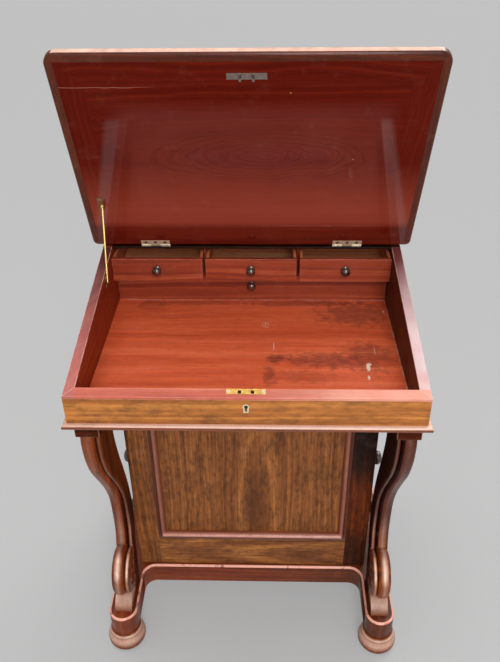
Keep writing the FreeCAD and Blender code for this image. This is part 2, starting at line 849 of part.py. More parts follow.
def front_board():
    """The front, cut for the lock from behind and for its keyhole."""
    base, top = S.floor_height, front_top - S.lipping
    outline = [
        (case_front, base), (lock_rear, base), (lock_rear, top + slope * S.front_wall), (case_front, top),
    ]
    board = plate("front_blank", "YZ", outline, (-half_case, half_case))
    seat = keyhole("front_seat", S.liner_way + S.liner_rim,
                   (case_front - OVERSHOOT, case_front + S.liner_depth))
    way = keyhole("front_way", S.liner_way, (case_front, lock_front + OVERSHOOT))
    node("case_front", [cut("front_cut", board, [lock_mortise, lock_drills] + seat + way)])


def side_boards():
    """Both sides, which follow the slope and then run level; the left one is cut for the stay's rest."""
    base = S.floor_height
    low_front, low_end = front_top - S.lipping, rear_top - S.lipping
    outline = [
        (lock_rear, base), (case_back, base), (case_back, rear_top), (slope_end, rear_top),
        (slope_end, low_end), (lock_rear, low_front + slope * S.front_wall),
    ]
    left = plate("left_side_blank", "YZ", outline, (-half_case, -inner))
    node("case_left_side", [cut("left_side_cut", left, [rest_seat] + rest_drills)])
    node("case_right_side", [plate("right_side", "YZ", outline, (inner, half_case))])


def lippings():
    """Three mitred strips along the sloping edges; the front one is cut for the lock."""
    low_front, low_end = front_top - S.lipping, rear_top - S.lipping
    section = [
        (case_front, low_front), (slope_end, low_end), (slope_end, rear_top), (case_front, front_top),
    ]
    strip = plate("lipping_strip", "YZ", section, (-half_case, half_case))
    plans = {
        "left": [(-half_case, case_front), (-inner, lock_rear), (-inner, slope_end), (-half_case, slope_end)],
        "right": [(half_case, case_front), (half_case, slope_end), (inner, slope_end), (inner, lock_rear)],
        "front": [(-half_case, case_front), (half_case, case_front), (inner, lock_rear), (-inner, lock_rear)],
    }
    tall = (low_front - OVERSHOOT, rear_top + OVERSHOOT)
    pieces = {side: common(f"lipping_{side}", strip, plate(f"lipping_plan_{side}", "XY", line, tall))
              for side, line in plans.items()}
    block = box("plate_seat_block", (-plate_half, plate_half), (-plate_depth, plate_depth),
                (-S.plate_thickness, OVERSHOOT))
    plate_seat = posed("plate_seat", [block], plate_pose)
    pieces["front"] = cut("lipping_front_cut", pieces["front"], [lock_mortise, plate_seat, lock_drills])
    node("top_lippings", list(pieces.values()))


def bottom_board():
    """The case's bottom board, whose rounded edge stands out at the front and the sides."""
    blank = box("bottom_blank", (-half_case - S.nosing, half_case + S.nosing),
                (case_front - S.nosing, case_back), (case_bottom, S.floor_height))

    def at_nosing(edge):
        level = edge.BoundBox.ZLength < TINY
        return level and middle_of(edge).y < float(case_back) - TINY
    node("case_bottom_board", [rounded("bottom_rounded", blank, S.nosing_round, at_nosing)])


def fixed_top():
    """The level top behind the lid; its front edge is cut back so that the lid can swing past."""
    blank = box("top_blank", (-half_lid, half_lid), (hinge_y, case_back + S.nosing),
                (rear_top, rear_top + S.top_board))
    reach = half_lid + OVERSHOOT
    swing = rod("top_swing", S.lid_thickness - S.knuckle_radius + S.swing_play, 2 * reach,
                (-reach, hinge_y, hinge_z), X_AXIS)
    open_lid = posed("top_open_lid", [box("top_open_lid_block", (-reach, reach), (0, lid_length),
                                          (lid_outside - S.swing_play, lid_inside))], lid_pose)

    def at_rim(edge):
        spot = middle_of(edge)
        level = edge.BoundBox.ZLength < TINY
        outside = abs(spot.x) > float(half_lid) - TINY or spot.y > float(case_back)
        return level and outside
    hollowed = cut("top_hollowed", blank, [swing, open_lid])
    node("case_top", [rounded("top_rounded", hollowed, S.edge_round, at_rim)])


def hinge_rail():
    """A board across the case under the fixed top, bevelled at the front; it carries the hinges."""
    front = slope_end + S.rail_front
    outline = [
        (front, rear_top), (front, rear_top - S.rail_lip), (front + S.rail_bevel, rail_bottom),
        (nest_back, rail_bottom), (nest_back, rear_top),
    ]
    board = plate("rail_blank", "YZ", outline, (-inner, inner))
    drills = posed("rail_drills", case_hinge["drills"], case_leaf_pose)
    node("hinge_rail", [cut("rail_drilled", board, [drills])])


front_board()
side_boards()
lippings()
bottom_board()
fixed_top()
hinge_rail()
node("case_back", [box("back_board", (-inner, inner), (nest_back, case_back), (S.floor_height, rear_top))])
node("case_screws", rest_screws + [posed("rail_screws", case_hinge["screws"], case_leaf_pose), lock_screws])


# ---------------------------------------------------------------- knobs and drawers

def knob_outline(radius):
    """Half section of a turned knob; height 0 is the drawer's face and the spigot goes below it."""
    spigot = radius * SPIGOT_SHARE
    crown, rise = radius * 0.82, radius * 0.22
    dome = (crown * crown + rise * rise) / (2 * rise)
    return [
        (0, -S.knob_spigot), (spigot, -S.knob_spigot), (spigot, 0), (radius * 0.78, 0),
        (radius * 0.78, radius * 0.16), (radius * 0.42, radius * 0.42, -radius * 0.4),
        (radius * 0.48, radius * 0.62), (radius, radius * 1.1, radius * 0.72),
        (crown, radius * 1.62, radius * 0.8), (0, radius * 1.62 + rise, dome),
    ]


small_knob = turned("small_knob", knob_outline(S.small_knob), (0, 0, 0), Z_AXIS)
large_knob = turned("large_knob", knob_outline(S.large_knob), (0, 0, 0), Z_AXIS)


def drawer_front(name, width, height, thickness, knob_radius, knob_spots):
    """A drawer's front, bored for its knobs; its face is y = 0 and its lower edge z = 0."""
    face = box(f"{name}_face", (-width / 2, width / 2), (0, thickness), (0, height))
    bores = [rod(f"{name}_bore_{i}", knob_radius * SPIGOT_SHARE + S.screw_play, S.knob_spigot + OVERSHOOT,
                 (x, -OVERSHOOT, z), Y_AXIS) for i, (x, z) in enumerate(knob_spots)]
    return cut(f"{name}_bored", face, bores)


def drawer_box(name, width, height, depth, front):
    """Two sides, a back and a bottom behind a front of a given thickness."""
    outer = width / 2 - S.box_inset
    within = outer - S.drawer_side
    top = height - S.side_drop
    rear = depth - S.drawer_side
    return [
        box(f"{name}_left", (-outer, -within), (front, depth), (0, top)),
        box(f"{name}_right", (within, outer), (front, depth), (0, top)),
        box(f"{name}_rear", (-within, within), (rear, depth), (0, height - S.back_drop)),
        box(f"{name}_floor", (-within, within), (front, rear),
            (S.bottom_rise, S.bottom_rise + S.drawer_bottom)),
    ]


def drawer_knobs(name, knob, spots):
    return [again(f"{name}_knob_{i}", knob, (x, 0, z), -Y_AXIS) for i, (x, z) in enumerate(spots)]


nest_width = (2 * inner - (SMALL_DRAWER_COUNT - 1) * S.divider) / SMALL_DRAWER_COUNT
nest_depth = nest_back - nest_front - S.drawer_stop
shelf_top = S.floor_height + S.shelf_rise


def nest():
    """The shelf and dividers of the small drawers, behind the well."""
    boards = [box("shelf_board", (-inner, inner), (nest_front, nest_back),
                  (shelf_top - S.shelf_board, shelf_top))]
    for i in range(1, SMALL_DRAWER_COUNT):
        x = i * (nest_width + S.divider) - inner
        boards.append(box(f"divider_{i}", (x - S.divider, x), (nest_front, nest_back),
                          (shelf_top, rail_bottom)))
    node("small_drawer_nest", boards)


def nest_drawer(label, width, height, knob_height, pose):
    """A drawer of the nest, as three sub-parts."""
    spots = [(ZERO, knob_height)]
    node(f"{label}_front", [drawer_front(label, width, height, S.drawer_front, S.small_knob, spots)], pose)
    node(f"{label}_box", drawer_box(label, width, height, nest_depth, S.drawer_front), pose)
    node(f"{label}_knob", drawer_knobs(label, small_knob, spots), pose)


def small_drawers():
    """Three drawers side by side above the long one, drawn a little way out."""
    base = shelf_top + S.drawer_gap
    height = rail_bottom - S.small_drawer_room - base
    for i, side in enumerate(("left", "middle", "right")):
        x = i * (nest_width + S.divider) + nest_width / 2 - inner
        spot = FreeCAD.Vector(float(x), float(nest_front - S.small_drawer_out), float(base))
        nest_drawer(f"{side}_small_drawer", nest_width - 2 * S.drawer_gap, height,
                    S.small_knob_height, FreeCAD.Placement(spot, FreeCAD.Rotation()))


def long_drawer():
    """The drawer as wide as the well, under the small ones."""
    base = S.floor_height + S.drawer_gap
    height = shelf_top - S.shelf_board - S.drawer_gap - base
    spot = FreeCAD.Vector(0, float(nest_front), float(base))
    nest_drawer("long_drawer", 2 * inner - 2 * S.drawer_gap, height, S.long_knob_height,
                FreeCAD.Placement(spot, FreeCAD.Rotation()))


nest()
small_drawers()
long_drawer()


# ---------------------------------------------------------------- pedestal

ped_half = half_case - S.pedestal_inset
ped_front = from_front(S.pedestal_front)
ped_back = case_back - S.pedestal_back_inset
ped_low = S.plinth_top
ped_high = case_bottom
frame_rear = ped_front + S.frame_thickness
back_front = ped_back - S.back_wall
opening_front = frame_rear + S.post
opening_back = back_front - S.post


def front_frame():
    """Stiles, rails, sunk panel and the mitred moulding round it."""
    span = (ped_front, frame_rear)
    stile_x = ped_half - S.stile
    low, high = ped_low + S.bottom_rail, ped_high - S.top_rail
    node("pedestal_front_frame", [
        box("left_stile", (-ped_half, -stile_x), span, (ped_low, ped_high)),
        box("right_stile", (stile_x, ped_half), span, (ped_low, ped_high)),
        box("bottom_rail", (-stile_x, stile_x), span, (ped_low, low)),
        box("top_rail", (-stile_x, stile_x), span, (high, ped_high)),
    ])
    sunk = ped_front + S.panel_set_back
    node("pedestal_front_panel", [
        box("front_panel", (-stile_x, stile_x), (sunk, sunk + S.panel_thickness), (low, high))])

    proud = ped_front - S.moulding_proud
    hole_x = stile_x - S.panel_moulding
    blank = box("ring_blank", (-stile_x, stile_x), (proud, sunk), (low, high))
    hole = box("ring_hole", (-hole_x, hole_x), (proud - OVERSHOOT, sunk + OVERSHOOT),
               (low + S.panel_moulding, high - S.panel_moulding))

    def at_front(edge):
        return edge.BoundBox.YMax < float(proud) + TINY
    ring = rounded("ring_rounded", cut("ring_open", blank, [hole]), S.moulding_proud, at_front)
    sectors = mitred_frame("ring", "XZ", stile_x, (low, high), S.panel_moulding, (proud, sunk))
    node("front_panel_moulding", [common(f"{piece.Name}_strip", piece, ring) for piece in sectors.values()])


def opening_levels():
    """Low and high Z of each side opening, deepest drawer at the bottom."""
    low = ped_low + S.side_end_rail
    total = ped_high - S.side_end_rail - low - (SIDE_DRAWER_COUNT - 1) * S.side_rail
    mean = total / SIDE_DRAWER_COUNT
    levels = []
    for i in range(SIDE_DRAWER_COUNT):
        height = mean + S.side_drawer_step * ((SIDE_DRAWER_COUNT - 1) / 2 - i)
        levels.append((low, low + height))
        low = low + height + S.side_rail
    return levels


def side_frame(name, x):
    """Two posts and the rails between the drawers."""
    pieces = [
        box(f"{name}_front_post", x, (frame_rear, opening_front), (ped_low, ped_high)),
        box(f"{name}_rear_post", x, (opening_back, back_front), (ped_low, ped_high)),
    ]
    edges = [ped_low] + [level for pair in opening_levels() for level in pair] + [ped_high]
    for i, (low, high) in enumerate(zip(edges[::2], edges[1::2])):
        pieces.append(box(f"{name}_rail_{i}", x, (opening_front, opening_back), (low, high)))
    node(name, pieces)


def side_drawers():
    """Four real drawers on the right, four dummy fronts with knobs on the left."""
    width = opening_back - opening_front - 2 * S.drawer_gap
    length = 2 * ped_half - S.side_drawer_room
    centre = (opening_front + opening_back) / 2
    dummies, dummy_knobs = [], []
    for i, (low, high) in enumerate(opening_levels(), start=1):
        height = high - low - 2 * S.drawer_gap
        spots = [(x, height / 2) for x in (-S.side_knob_spread / 2, S.side_knob_spread / 2)]
        poses = {side: FreeCAD.Placement(FreeCAD.Vector(float(x), float(centre), float(low + S.drawer_gap)),
                                         FreeCAD.Rotation(Z_AXIS, turn))
                 for side, x, turn in (("right", ped_half, 90), ("left", -ped_half, -90))}
        label = f"side_drawer_{i}"
        front = drawer_front(label, width, height, S.post_thickness, S.large_knob, spots)
        body = drawer_box(label, width, height, length, S.post_thickness)
        node(label, [front] + body, poses["right"])
        node(f"{label}_knobs", drawer_knobs(label, large_knob, spots), poses["right"])
        label = f"dummy_{i}"
        front = drawer_front(label, width, height, S.post_thickness, S.large_knob, spots)
        dummies.append(posed(f"{label}_front", [front], poses["left"]))
        dummy_knobs.append(posed(f"{label}_knobs", drawer_knobs(label, large_knob, spots), poses["left"]))
    node("dummy_drawer_fronts", dummies)
    node("dummy_drawer_knobs", dummy_knobs)


def runners():
    """Boards that the side drawers slide on, and guides in front of and behind each drawer."""
    x = (S.post_thickness - ped_half, ped_half - S.post_thickness)
    guides = {"front": (opening_front - S.guide, opening_front),
              "rear": (opening_back, opening_back + S.guide)}
    pieces = []
    for i, (low, _) in enumerate(opening_levels()):
        pieces.append(box(f"dust_board_{i}", x, (frame_rear, back_front), (low - S.dust_board, low)))
        for end, y in guides.items():
            pieces.append(box(f"guide_{end}_{i}", x, y, (low, low + S.guide)))
    node("drawer_runners", pieces)


front_frame()
side_frame("pedestal_right_frame", (ped_half - S.post_thickness, ped_half))
side_frame("pedestal_left_frame", (-ped_half, S.post_thickness - ped_half))
side_drawers()
runners()
node("pedestal_back", [box("pedestal_back_board", (-ped_half, ped_half), (back_front, ped_back),
                           (ped_low, ped_high))])


# ---------------------------------------------------------------- plinth and feet

plinth_low = S.plinth_top - S.plinth_height
plinth_rear = case_back - S.plinth_back_inset
arm_x = half_case - S.arm_inset
arm_half = S.arm_width / 2


def plinth():
    """A moulded base whose two arms run forward under the scroll supports."""
    front = ped_front - S.plinth_step
    tip = from_front(S.arm_front)
    outside, inside = arm_x + arm_half, arm_x - arm_half
    corner = S.arm_corner
    outline = [
        (corner - inside, front, -corner), (inside - corner, front), (inside, front - corner, -corner),
        (inside, tip), (outside, tip, arm_half), (outside, plinth_rear), (-outside, plinth_rear),
        (-outside, tip),
        (-inside, tip, arm_half), (-inside, front - corner),
    ]
    blank = plate("plinth_blank", "XY", outline, (plinth_low, S.plinth_top))

    def at_top(edge):
        return edge.BoundBox.ZMin > float(S.plinth_top) - TINY
    moulded = rounded("plinth_rounded", blank, S.edge_round, at_top)
    hole_x = inside - S.plinth_ledge
    hollow = box("plinth_hollow", (-hole_x, hole_x), (front + S.plinth_rail, plinth_rear - S.plinth_rail),
                 (plinth_low - OVERSHOOT, S.plinth_top + OVERSHOOT))
    node("plinth", [cut("plinth_frame", moulded, [hollow])])


def feet():
    """Four turned bun feet, each with a collar under the plinth."""
    wide, tall = S.foot_radius, plinth_low
    neck = wide * 0.80
    outline = [
        (0, 0), (wide * 0.84, 0), (wide, tall * 0.24, wide * 0.32), (neck, tall * 0.84, wide * 1.05),
        (neck, tall * 0.86), (neck, tall, tall * 0.08), (0, tall),
    ]
    bun = turned("bun_foot", outline, (0, 0, 0), Z_AXIS)
    rows = (from_front(S.arm_front), plinth_rear - S.rear_foot_inset)
    spots = [(x, y) for y in rows for x in (-arm_x, arm_x)]
    node("bun_feet", [again(f"bun_foot_{i}", bun, (x, y, 0)) for i, (x, y) in enumerate(spots)])


plinth()
feet()


# ---------------------------------------------------------------- scroll supports

cap_low = ped_high - S.cap_height
support_low = S.plinth_top
support_x = half_case - S.support_inset - S.support_width / 2
volute_y = S.arm_front + S.volute_set_back
toe_y = S.arm_front + S.toe_set_back

# Each point is (share of the support's depth behind the cap's front, share of the height from plinth to cap).
FRONT_CURVE = [
    (0.0789, 1.0), (0.0395, 0.94), (0.0855, 0.865), (0.2368, 0.784), (0.4737, 0.673),
    (0.6579, 0.58), (0.7697, 0.482), (0.8026, 0.388), (0.7632, 0.296), (0.6711, 0.249),
]
REAR_CURVE = [
    (0.3816, 1.0), (0.3816, 0.927), (0.4605, 0.829), (0.6316, 0.714), (0.8289, 0.608),
    (0.9605, 0.506), (1.0000, 0.404), (0.9605, 0.296), (0.8684, 0.184), (0.7895, 0.0),
]


def support_point(depth_share, share):
    set_back = S.support_depth * depth_share
    height = support_low + (cap_low - support_low) * share
    return FreeCAD.Vector(float(from_front(S.cap_front + set_back)), float(height), 0)


def support_band():
    """The S-shaped band from the cap down to the plinth, between a front and a rear curve."""
    body = doc.addObject("PartDesign::Body", "support_band")
    sketch = body.newObject("Sketcher::SketchObject", "support_band_sketch")
    sketch.AttachmentSupport = (origin_plane(body, "YZ_Plane"), "")
    sketch.MapMode = "FlatFace"
    heel = FreeCAD.Vector(float(from_front(volute_y)), float(support_low), 0)
    curves = [[support_point(*point) for point in points] for points in (FRONT_CURVE, REAR_CURVE)]
    for points in curves:
        curve = Part.BSplineCurve()
        curve.interpolate(points)
        sketch.addGeometry(curve, False)
    front, rear = curves
    for start, end in ((front[-1], heel), (heel, rear[-1]), (rear[0], front[0])):
        sketch.addGeometry(Part.LineSegment(start, end), False)
    pad = body.newObject("PartDesign::Pad", "support_band_pad")
    pad.Profile = sketch
    bind(pad, "Length", S.support_width)
    place(body, x=support_x)
    return body


def scroll_supports():
    """On each side a cap, an S-shaped support with a volute at its foot, and a rounded toe."""
    volute = rod("support_volute", S.volute_radius, S.support_width,
                 (support_x, from_front(volute_y), support_low + S.volute_height), X_AXIS)
    right = fuse("support_whole", [support_band(), volute])
    node("right_scroll_support", [right])
    node("left_scroll_support", [mirror("support_mirrored", right)])

    round_toe = rod("toe_round", S.toe_radius, S.support_width - 2 * S.toe_inset,
                    (support_x + S.toe_inset, from_front(toe_y), support_low), X_AXIS)
    half = box("toe_half", (support_x, support_x + S.support_width),
               (from_front(toe_y - S.toe_radius - OVERSHOOT), from_front(volute_y - S.toe_gap)),
               (support_low, support_low + S.toe_radius + OVERSHOOT))
    toe = common("toe_cut", round_toe, half)
    node("scroll_toes", [toe, mirror("toe_mirrored", toe)])

    cap = box("cap_block", (support_x - S.cap_margin, support_x + S.support_width + S.cap_margin),
              (from_front(S.cap_front), from_front(S.cap_front + S.cap_depth)), (cap_low, ped_high))
    node("support_caps", [cap, mirror("cap_mirrored", cap)])


scroll_supports()


# ---------------------------------------------------------------- checks and files

doc.recompute()
for item in doc.Objects:
    if {"Invalid", "Error"} & set(item.State):
        raise RuntimeError(f"{item.Name} failed: {item.State}")
for label, item in nodes.items():
    if item.Shape.isNull() or not item.Shape.isValid():
        raise RuntimeError(f"{label} is not a valid shape")
os.makedirs("parts", exist_ok=True)
for label, item in nodes.items():
    item.Shape.exportStep(f"parts/{label}.step")
print(len(nodes), "nodes")
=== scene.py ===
import json
import math
import random

import bmesh
import bpy
from mathutils import Matrix, Vector

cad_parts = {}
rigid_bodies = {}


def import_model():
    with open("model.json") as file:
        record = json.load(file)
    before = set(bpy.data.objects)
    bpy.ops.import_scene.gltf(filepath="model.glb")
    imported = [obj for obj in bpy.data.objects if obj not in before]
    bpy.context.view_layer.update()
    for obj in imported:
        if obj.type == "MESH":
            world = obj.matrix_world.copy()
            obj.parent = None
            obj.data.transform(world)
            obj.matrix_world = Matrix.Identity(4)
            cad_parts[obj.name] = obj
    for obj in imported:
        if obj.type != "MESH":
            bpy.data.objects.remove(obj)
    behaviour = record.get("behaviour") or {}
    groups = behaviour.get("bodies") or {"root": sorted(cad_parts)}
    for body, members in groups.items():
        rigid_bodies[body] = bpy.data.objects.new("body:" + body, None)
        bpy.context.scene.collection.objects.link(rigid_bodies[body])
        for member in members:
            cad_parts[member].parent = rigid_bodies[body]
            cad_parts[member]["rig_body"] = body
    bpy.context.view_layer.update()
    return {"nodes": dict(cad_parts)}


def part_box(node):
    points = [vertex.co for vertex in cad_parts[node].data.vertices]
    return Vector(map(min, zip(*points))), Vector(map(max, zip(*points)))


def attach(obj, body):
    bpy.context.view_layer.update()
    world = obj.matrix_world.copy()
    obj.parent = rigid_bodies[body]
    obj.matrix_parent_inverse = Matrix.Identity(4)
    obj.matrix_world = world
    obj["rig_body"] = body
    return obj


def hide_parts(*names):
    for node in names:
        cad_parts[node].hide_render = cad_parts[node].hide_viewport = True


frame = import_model()

MM = 0.001
X, Y, Z = Vector((1, 0, 0)), Vector((0, 1, 0)), Vector((0, 0, 1))
BODY_OF = {name: piece["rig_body"] for name, piece in frame["nodes"].items()}

# The open lid's own frame: x along the hinge, y from the hinge to the free edge, z out of the inner face.
LID_TURN = math.radians(111.1)
LID = Matrix.Translation(Vector((0, 0.103, 0.765554))) @ Matrix.Rotation(LID_TURN, 4, "X")


# ---------------------------------------------------------------- shader tools

def tint(red, green, blue):
    """A colour picked on a 0 to 255 colour card, as linear light."""
    def linear(level):
        level /= 255
        return level / 12.92 if level <= 0.04045 else ((level + 0.055) / 1.055) ** 2.4
    return linear(red), linear(green), linear(blue), 1.0


def plug(tree, socket, value):
    """Joins a socket to a (node, output), or sets it to a plain value."""
    if isinstance(value, tuple) and isinstance(value[0], bpy.types.Node):
        tree.links.new(value[0].outputs[value[1]], socket)
    else:
        socket.default_value = value


class Recipe:
    """Adds shader nodes and joins them up. A result is given as (node, output)."""

    def __init__(self, tree):
        self.tree = tree

    def add(self, kind, inputs=None, **settings):
        """A node of a kind, with its settings made and its inputs joined or set."""
        made = self.tree.nodes.new("ShaderNode" + kind)
        for name, value in settings.items():
            setattr(made, name, value)
        for name, value in (inputs or {}).items():
            plug(self.tree, made.inputs[name], value)
        return made

    def maths(self, operation, first, second=0.0):
        """One sum on two numbers. The short words below stand for the common ones."""
        return self.add("Math", {0: first, 1: second}, operation=operation), 0

    def plus(self, first, second):
        return self.maths("ADD", first, second)

    def minus(self, first, second):
        return self.maths("SUBTRACT", first, second)

    def times(self, first, second):
        return self.maths("MULTIPLY", first, second)

    def size(self, value):
        return self.maths("ABSOLUTE", value)

    def parts(self, vector):
        """A vector's three numbers."""
        split = self.add("SeparateXYZ", {0: vector})
        return (split, 0), (split, 1), (split, 2)

    def length(self, vector):
        return self.add("VectorMath", {0: vector}, operation="LENGTH"), 1

    def stored(self, name, output=2):
        """What the mesh keeps under a name: output 1 is a place and 2 is a number."""
        return self.add("Attribute", attribute_name=name, attribute_type="GEOMETRY"), output

    def span(self, value, low, high, to_low=0.0, to_high=1.0):
        """Turns one span of values into another, held at both ends."""
        return self.add("MapRange", {"Value": value, "From Min": low, "From Max": high,
                                     "To Min": to_low, "To Max": to_high}), 0

    def noise(self, vector, scale, detail=2.0, roughness=0.5, distortion=0.0):
        return self.add("TexNoise", {"Vector": vector, "Scale": scale, "Detail": detail,
                                     "Roughness": roughness, "Distortion": distortion}), 0

    def stretch(self, vector, scale, shift=(0, 0, 0)):
        return self.add("Mapping", {"Vector": vector, "Scale": scale, "Location": shift}), 0

    def blend(self, share, first, second, mode="MIX"):
        mix = self.add("Mix", data_type="RGBA", blend_type=mode)
        for index, value in ((0, share), (6, first), (7, second)):
            plug(self.tree, mix.inputs[index], value)
        return mix, 2

    def tinge(self, share, tone, red, green, blue):
        """Multiplies a tone where the share says so."""
        return self.blend(share, tone, (red, green, blue, 1), "MULTIPLY")

    def ramp(self, value, stops):
        """A colour ramp through stops of (place, colour)."""
        made = self.add("ValToRGB", {"Fac": value})
        elements = made.color_ramp.elements
        while len(elements) < len(stops):
            elements.new(0.5)
        for element, (place, colour) in zip(elements, stops):
            element.position = place
            element.color = colour
        return made, 0


def effect(name, inputs, outputs):
    """A shader node group with named ends, and the recipe that fills it."""
    group = bpy.data.node_groups.new(name, "ShaderNodeTree")
    for label, kind, value in inputs:
        socket = group.interface.new_socket(label, in_out="INPUT", socket_type="NodeSocket" + kind)
        if value is not None:
            socket.default_value = value
    for label, kind in outputs:
        group.interface.new_socket(label, in_out="OUTPUT", socket_type="NodeSocket" + kind)
    return group, Recipe(group), group.nodes.new("NodeGroupInput")


def give(group, results):
    """Joins a group's results to its named outputs."""
    end = group.nodes.new("NodeGroupOutput")
    for label, (made, index) in results.items():
        group.links.new(made.outputs[index], end.inputs[label])


def sawn_grain():
    """Growth rings cut lengthways, with the fibre, pores and mottle of mahogany."""
    group, r, ends = effect(
        "sawn_grain",
        [("Lie", "Vector", None), ("Heart", "Vector", None), ("Lean", "Float", 0.1), ("Rings", "Float", 90.0),
         ("Wander", "Float", 0.012)],
        [("Figure", "Float"), ("Fibre", "Float"), ("Pores", "Float"), ("Mottle", "Float")])
    lie = (ends, "Lie")
    drift = r.noise(r.stretch(lie, (3.0, 8.0, 8.0)), 1.0, 3.0, 0.5)
    drift = r.times(r.minus(drift, 0.5), (ends, "Wander"))
    from_heart = r.add("VectorMath", {0: lie, 1: (ends, "Heart")}, operation="SUBTRACT"), 0
    x, y, z = r.parts(from_heart)
    along = r.times(x, (ends, "Lean"))
    across = r.plus(y, drift)
    ring = r.add("CombineXYZ", {0: along, 1: across, 2: z}), 0
    ring = r.length(ring)
    ring = r.times(ring, (ends, "Rings"))
    figure = r.add("TexNoise", {"W": ring, "Scale": 1.0, "Detail": 3.0, "Roughness": 0.55},
                   noise_dimensions="1D"), 0
    cloud = r.noise(r.stretch(lie, (3.0, 22.0, 22.0)), 1.0, 3.0, 0.55)
    figure = r.plus(r.times(figure, 0.6), r.times(cloud, 0.4))
    fine = r.noise(r.stretch(lie, (9.0, 330.0, 330.0)), 1.0, 3.0, 0.6)
    pores = r.noise(r.stretch(lie, (60.0, 1500.0, 1500.0)), 1.0, 1.0, 0.5)
    flame = r.noise(r.stretch(lie, (52.0, 120.0, 120.0)), 1.0, 4.0, 0.62, 0.2)
    give(group, {"Figure": r.span(figure, 0.3, 0.7), "Fibre": r.span(fine, 0.35, 0.68),
                 "Pores": r.span(pores, 0.6, 0.72), "Mottle": r.span(flame, 0.46, 0.68)})
    return group


def handling():
    """What use leaves on a polished surface: smears, dust in the grain, small dents and scratches."""
    group, r, ends = effect(
        "handling", [("Place", "Vector", None), ("Amount", "Float", 1.0)],
        [("Smear", "Float"), ("Dust", "Float"), ("Dents", "Float"), ("Scratches", "Float")])
    place, amount = (ends, "Place"), (ends, "Amount")
    smear = r.span(r.noise(place, 9.0, 4.0, 0.6, 0.8), 0.35, 0.7)
    dust = r.span(r.noise(place, 38.0, 5.0, 0.7, 0.3), 0.56, 0.74)
    dents = r.span(r.noise(place, 150.0, 2.0, 0.5), 0.7, 0.78)
    lines = []
    for turn, stretch in (((0.3, 0.7, 0.45), (24.0, 900.0, 30.0)), ((1.1, 0.5, 2.1), (800.0, 30.0, 26.0))):
        turned = r.add("Mapping", {"Vector": place, "Rotation": turn, "Scale": stretch}), 0
        lines.append(r.span(r.noise(turned, 1.0, 1.0), 0.77, 0.8))
    scratches = r.maths("MAXIMUM", *lines)
    give(group, {"Smear": r.times(smear, amount), "Dust": r.times(dust, amount),
                 "Dents": r.times(dents, amount), "Scratches": r.times(scratches, amount)})
    return group


SAWN, HANDLED = sawn_grain(), handling()


def fresh(name):
    """An empty material with its output, its Principled shader and a recipe."""
    made = bpy.data.materials.new(name)
    made.use_nodes = True
    made.node_tree.nodes.clear()
    recipe = Recipe(made.node_tree)
    shader = recipe.add("BsdfPrincipled")
    recipe.add("OutputMaterial", {"Surface": (shader, 0)})
    return made, recipe, shader


def feed(recipe, shader, **inputs):
    """Fills a shader's or a group's inputs by name, with _ for a space."""
    for label, value in inputs.items():
        plug(recipe.tree, shader.inputs[label.replace("_", " ")], value)


def timber(name, dark, mid, light, heart=(0, 0, 0), lean=0.1, rings=90.0, wander=0.02, mottle=0.3, fibre=0.45,
           depth=0.85, gloss=0.34, shine=0.3, polish=0.15, sheen=0.08, use=1.0, wear_and_highlight=None, marks=None,
           dusty=0.06):
    """A polished wood: its colours follow the rings and the fibre, its gloss follows handling."""
    dark, mid, light = tint(*dark), tint(*mid), tint(*light)
    made, r, shader = fresh(name)
    place = r.stored("lie", 1)
    spot = r.add("TexCoord"), "Object"
    grain = r.add("Group", {}, node_tree=SAWN)
    feed(r, grain, Lie=place, Heart=heart, Lean=lean, Rings=rings, Wander=wander)
    handled = r.add("Group", {}, node_tree=HANDLED)
    feed(r, handled, Place=spot, Amount=use)
    pitch = tuple(0.35 * level for level in dark[:3]) + (1,)
    figure = r.span((grain, "Figure"), 0.0, 1.0, 0.5 - 0.5 * depth, 0.5 + 0.5 * depth)
    tone = r.ramp(figure, [(0.0, dark), (0.5, mid), (1.0, light)])
    tone = r.blend(r.times((grain, "Fibre"), fibre), tone, dark)
    tone = r.blend(r.times((grain, "Mottle"), mottle), tone, pitch)
    tone = r.blend(r.times((grain, "Pores"), 0.3), tone, pitch)
    if marks:
        tone = marks(r, spot, place, tone)
    # Painted shade: where a piece marks it, mostly in quirks, coves and necks, the tone is darkened towards
    # pitch.
    grime = r.stored("grime")
    tone = r.blend(r.times(grime, 0.85), tone, pitch)
    tone = r.blend(r.times((handled, "Dust"), dusty), tone, tint(190, 150, 130))
    tone = r.blend(r.times((handled, "Scratches"), 0.2), tone, light)
    # Arrises are paled by wear and by painted highlight, and the marked crests by painted highlight alone.
    if wear_and_highlight:
        arris = r.stored("arris")
        crest = r.stored("crest")
        patchy = r.noise(spot, 55.0, 3.0, 0.6)
        arris = r.times(arris, r.span(patchy, 0.35, 0.65, 0.1, 0.8))
        crest = r.times(crest, r.span(patchy, 0.35, 0.65, 0.7, 1.0))
        tone = r.blend(r.maths("MAXIMUM", arris, crest), tone, tint(*wear_and_highlight))
    rough = r.plus(r.times((handled, "Smear"), 0.12), gloss)
    rough = r.plus(rough, r.times((grain, "Fibre"), 0.05))
    height = r.minus(r.times((grain, "Fibre"), 0.2), (grain, "Pores"))
    height = r.minus(height, (handled, "Dents"))
    height = r.minus(height, (handled, "Scratches"))
    bump = r.add("Bump", {"Height": height, "Strength": 0.2, "Distance": 0.0003})
    feed(r, shader, Base_Color=tone, Roughness=rough, Normal=(bump, 0), Specular_IOR_Level=shine,
         Coat_Weight=polish(r, spot) if callable(polish) else polish, Coat_Roughness=sheen)
    return made


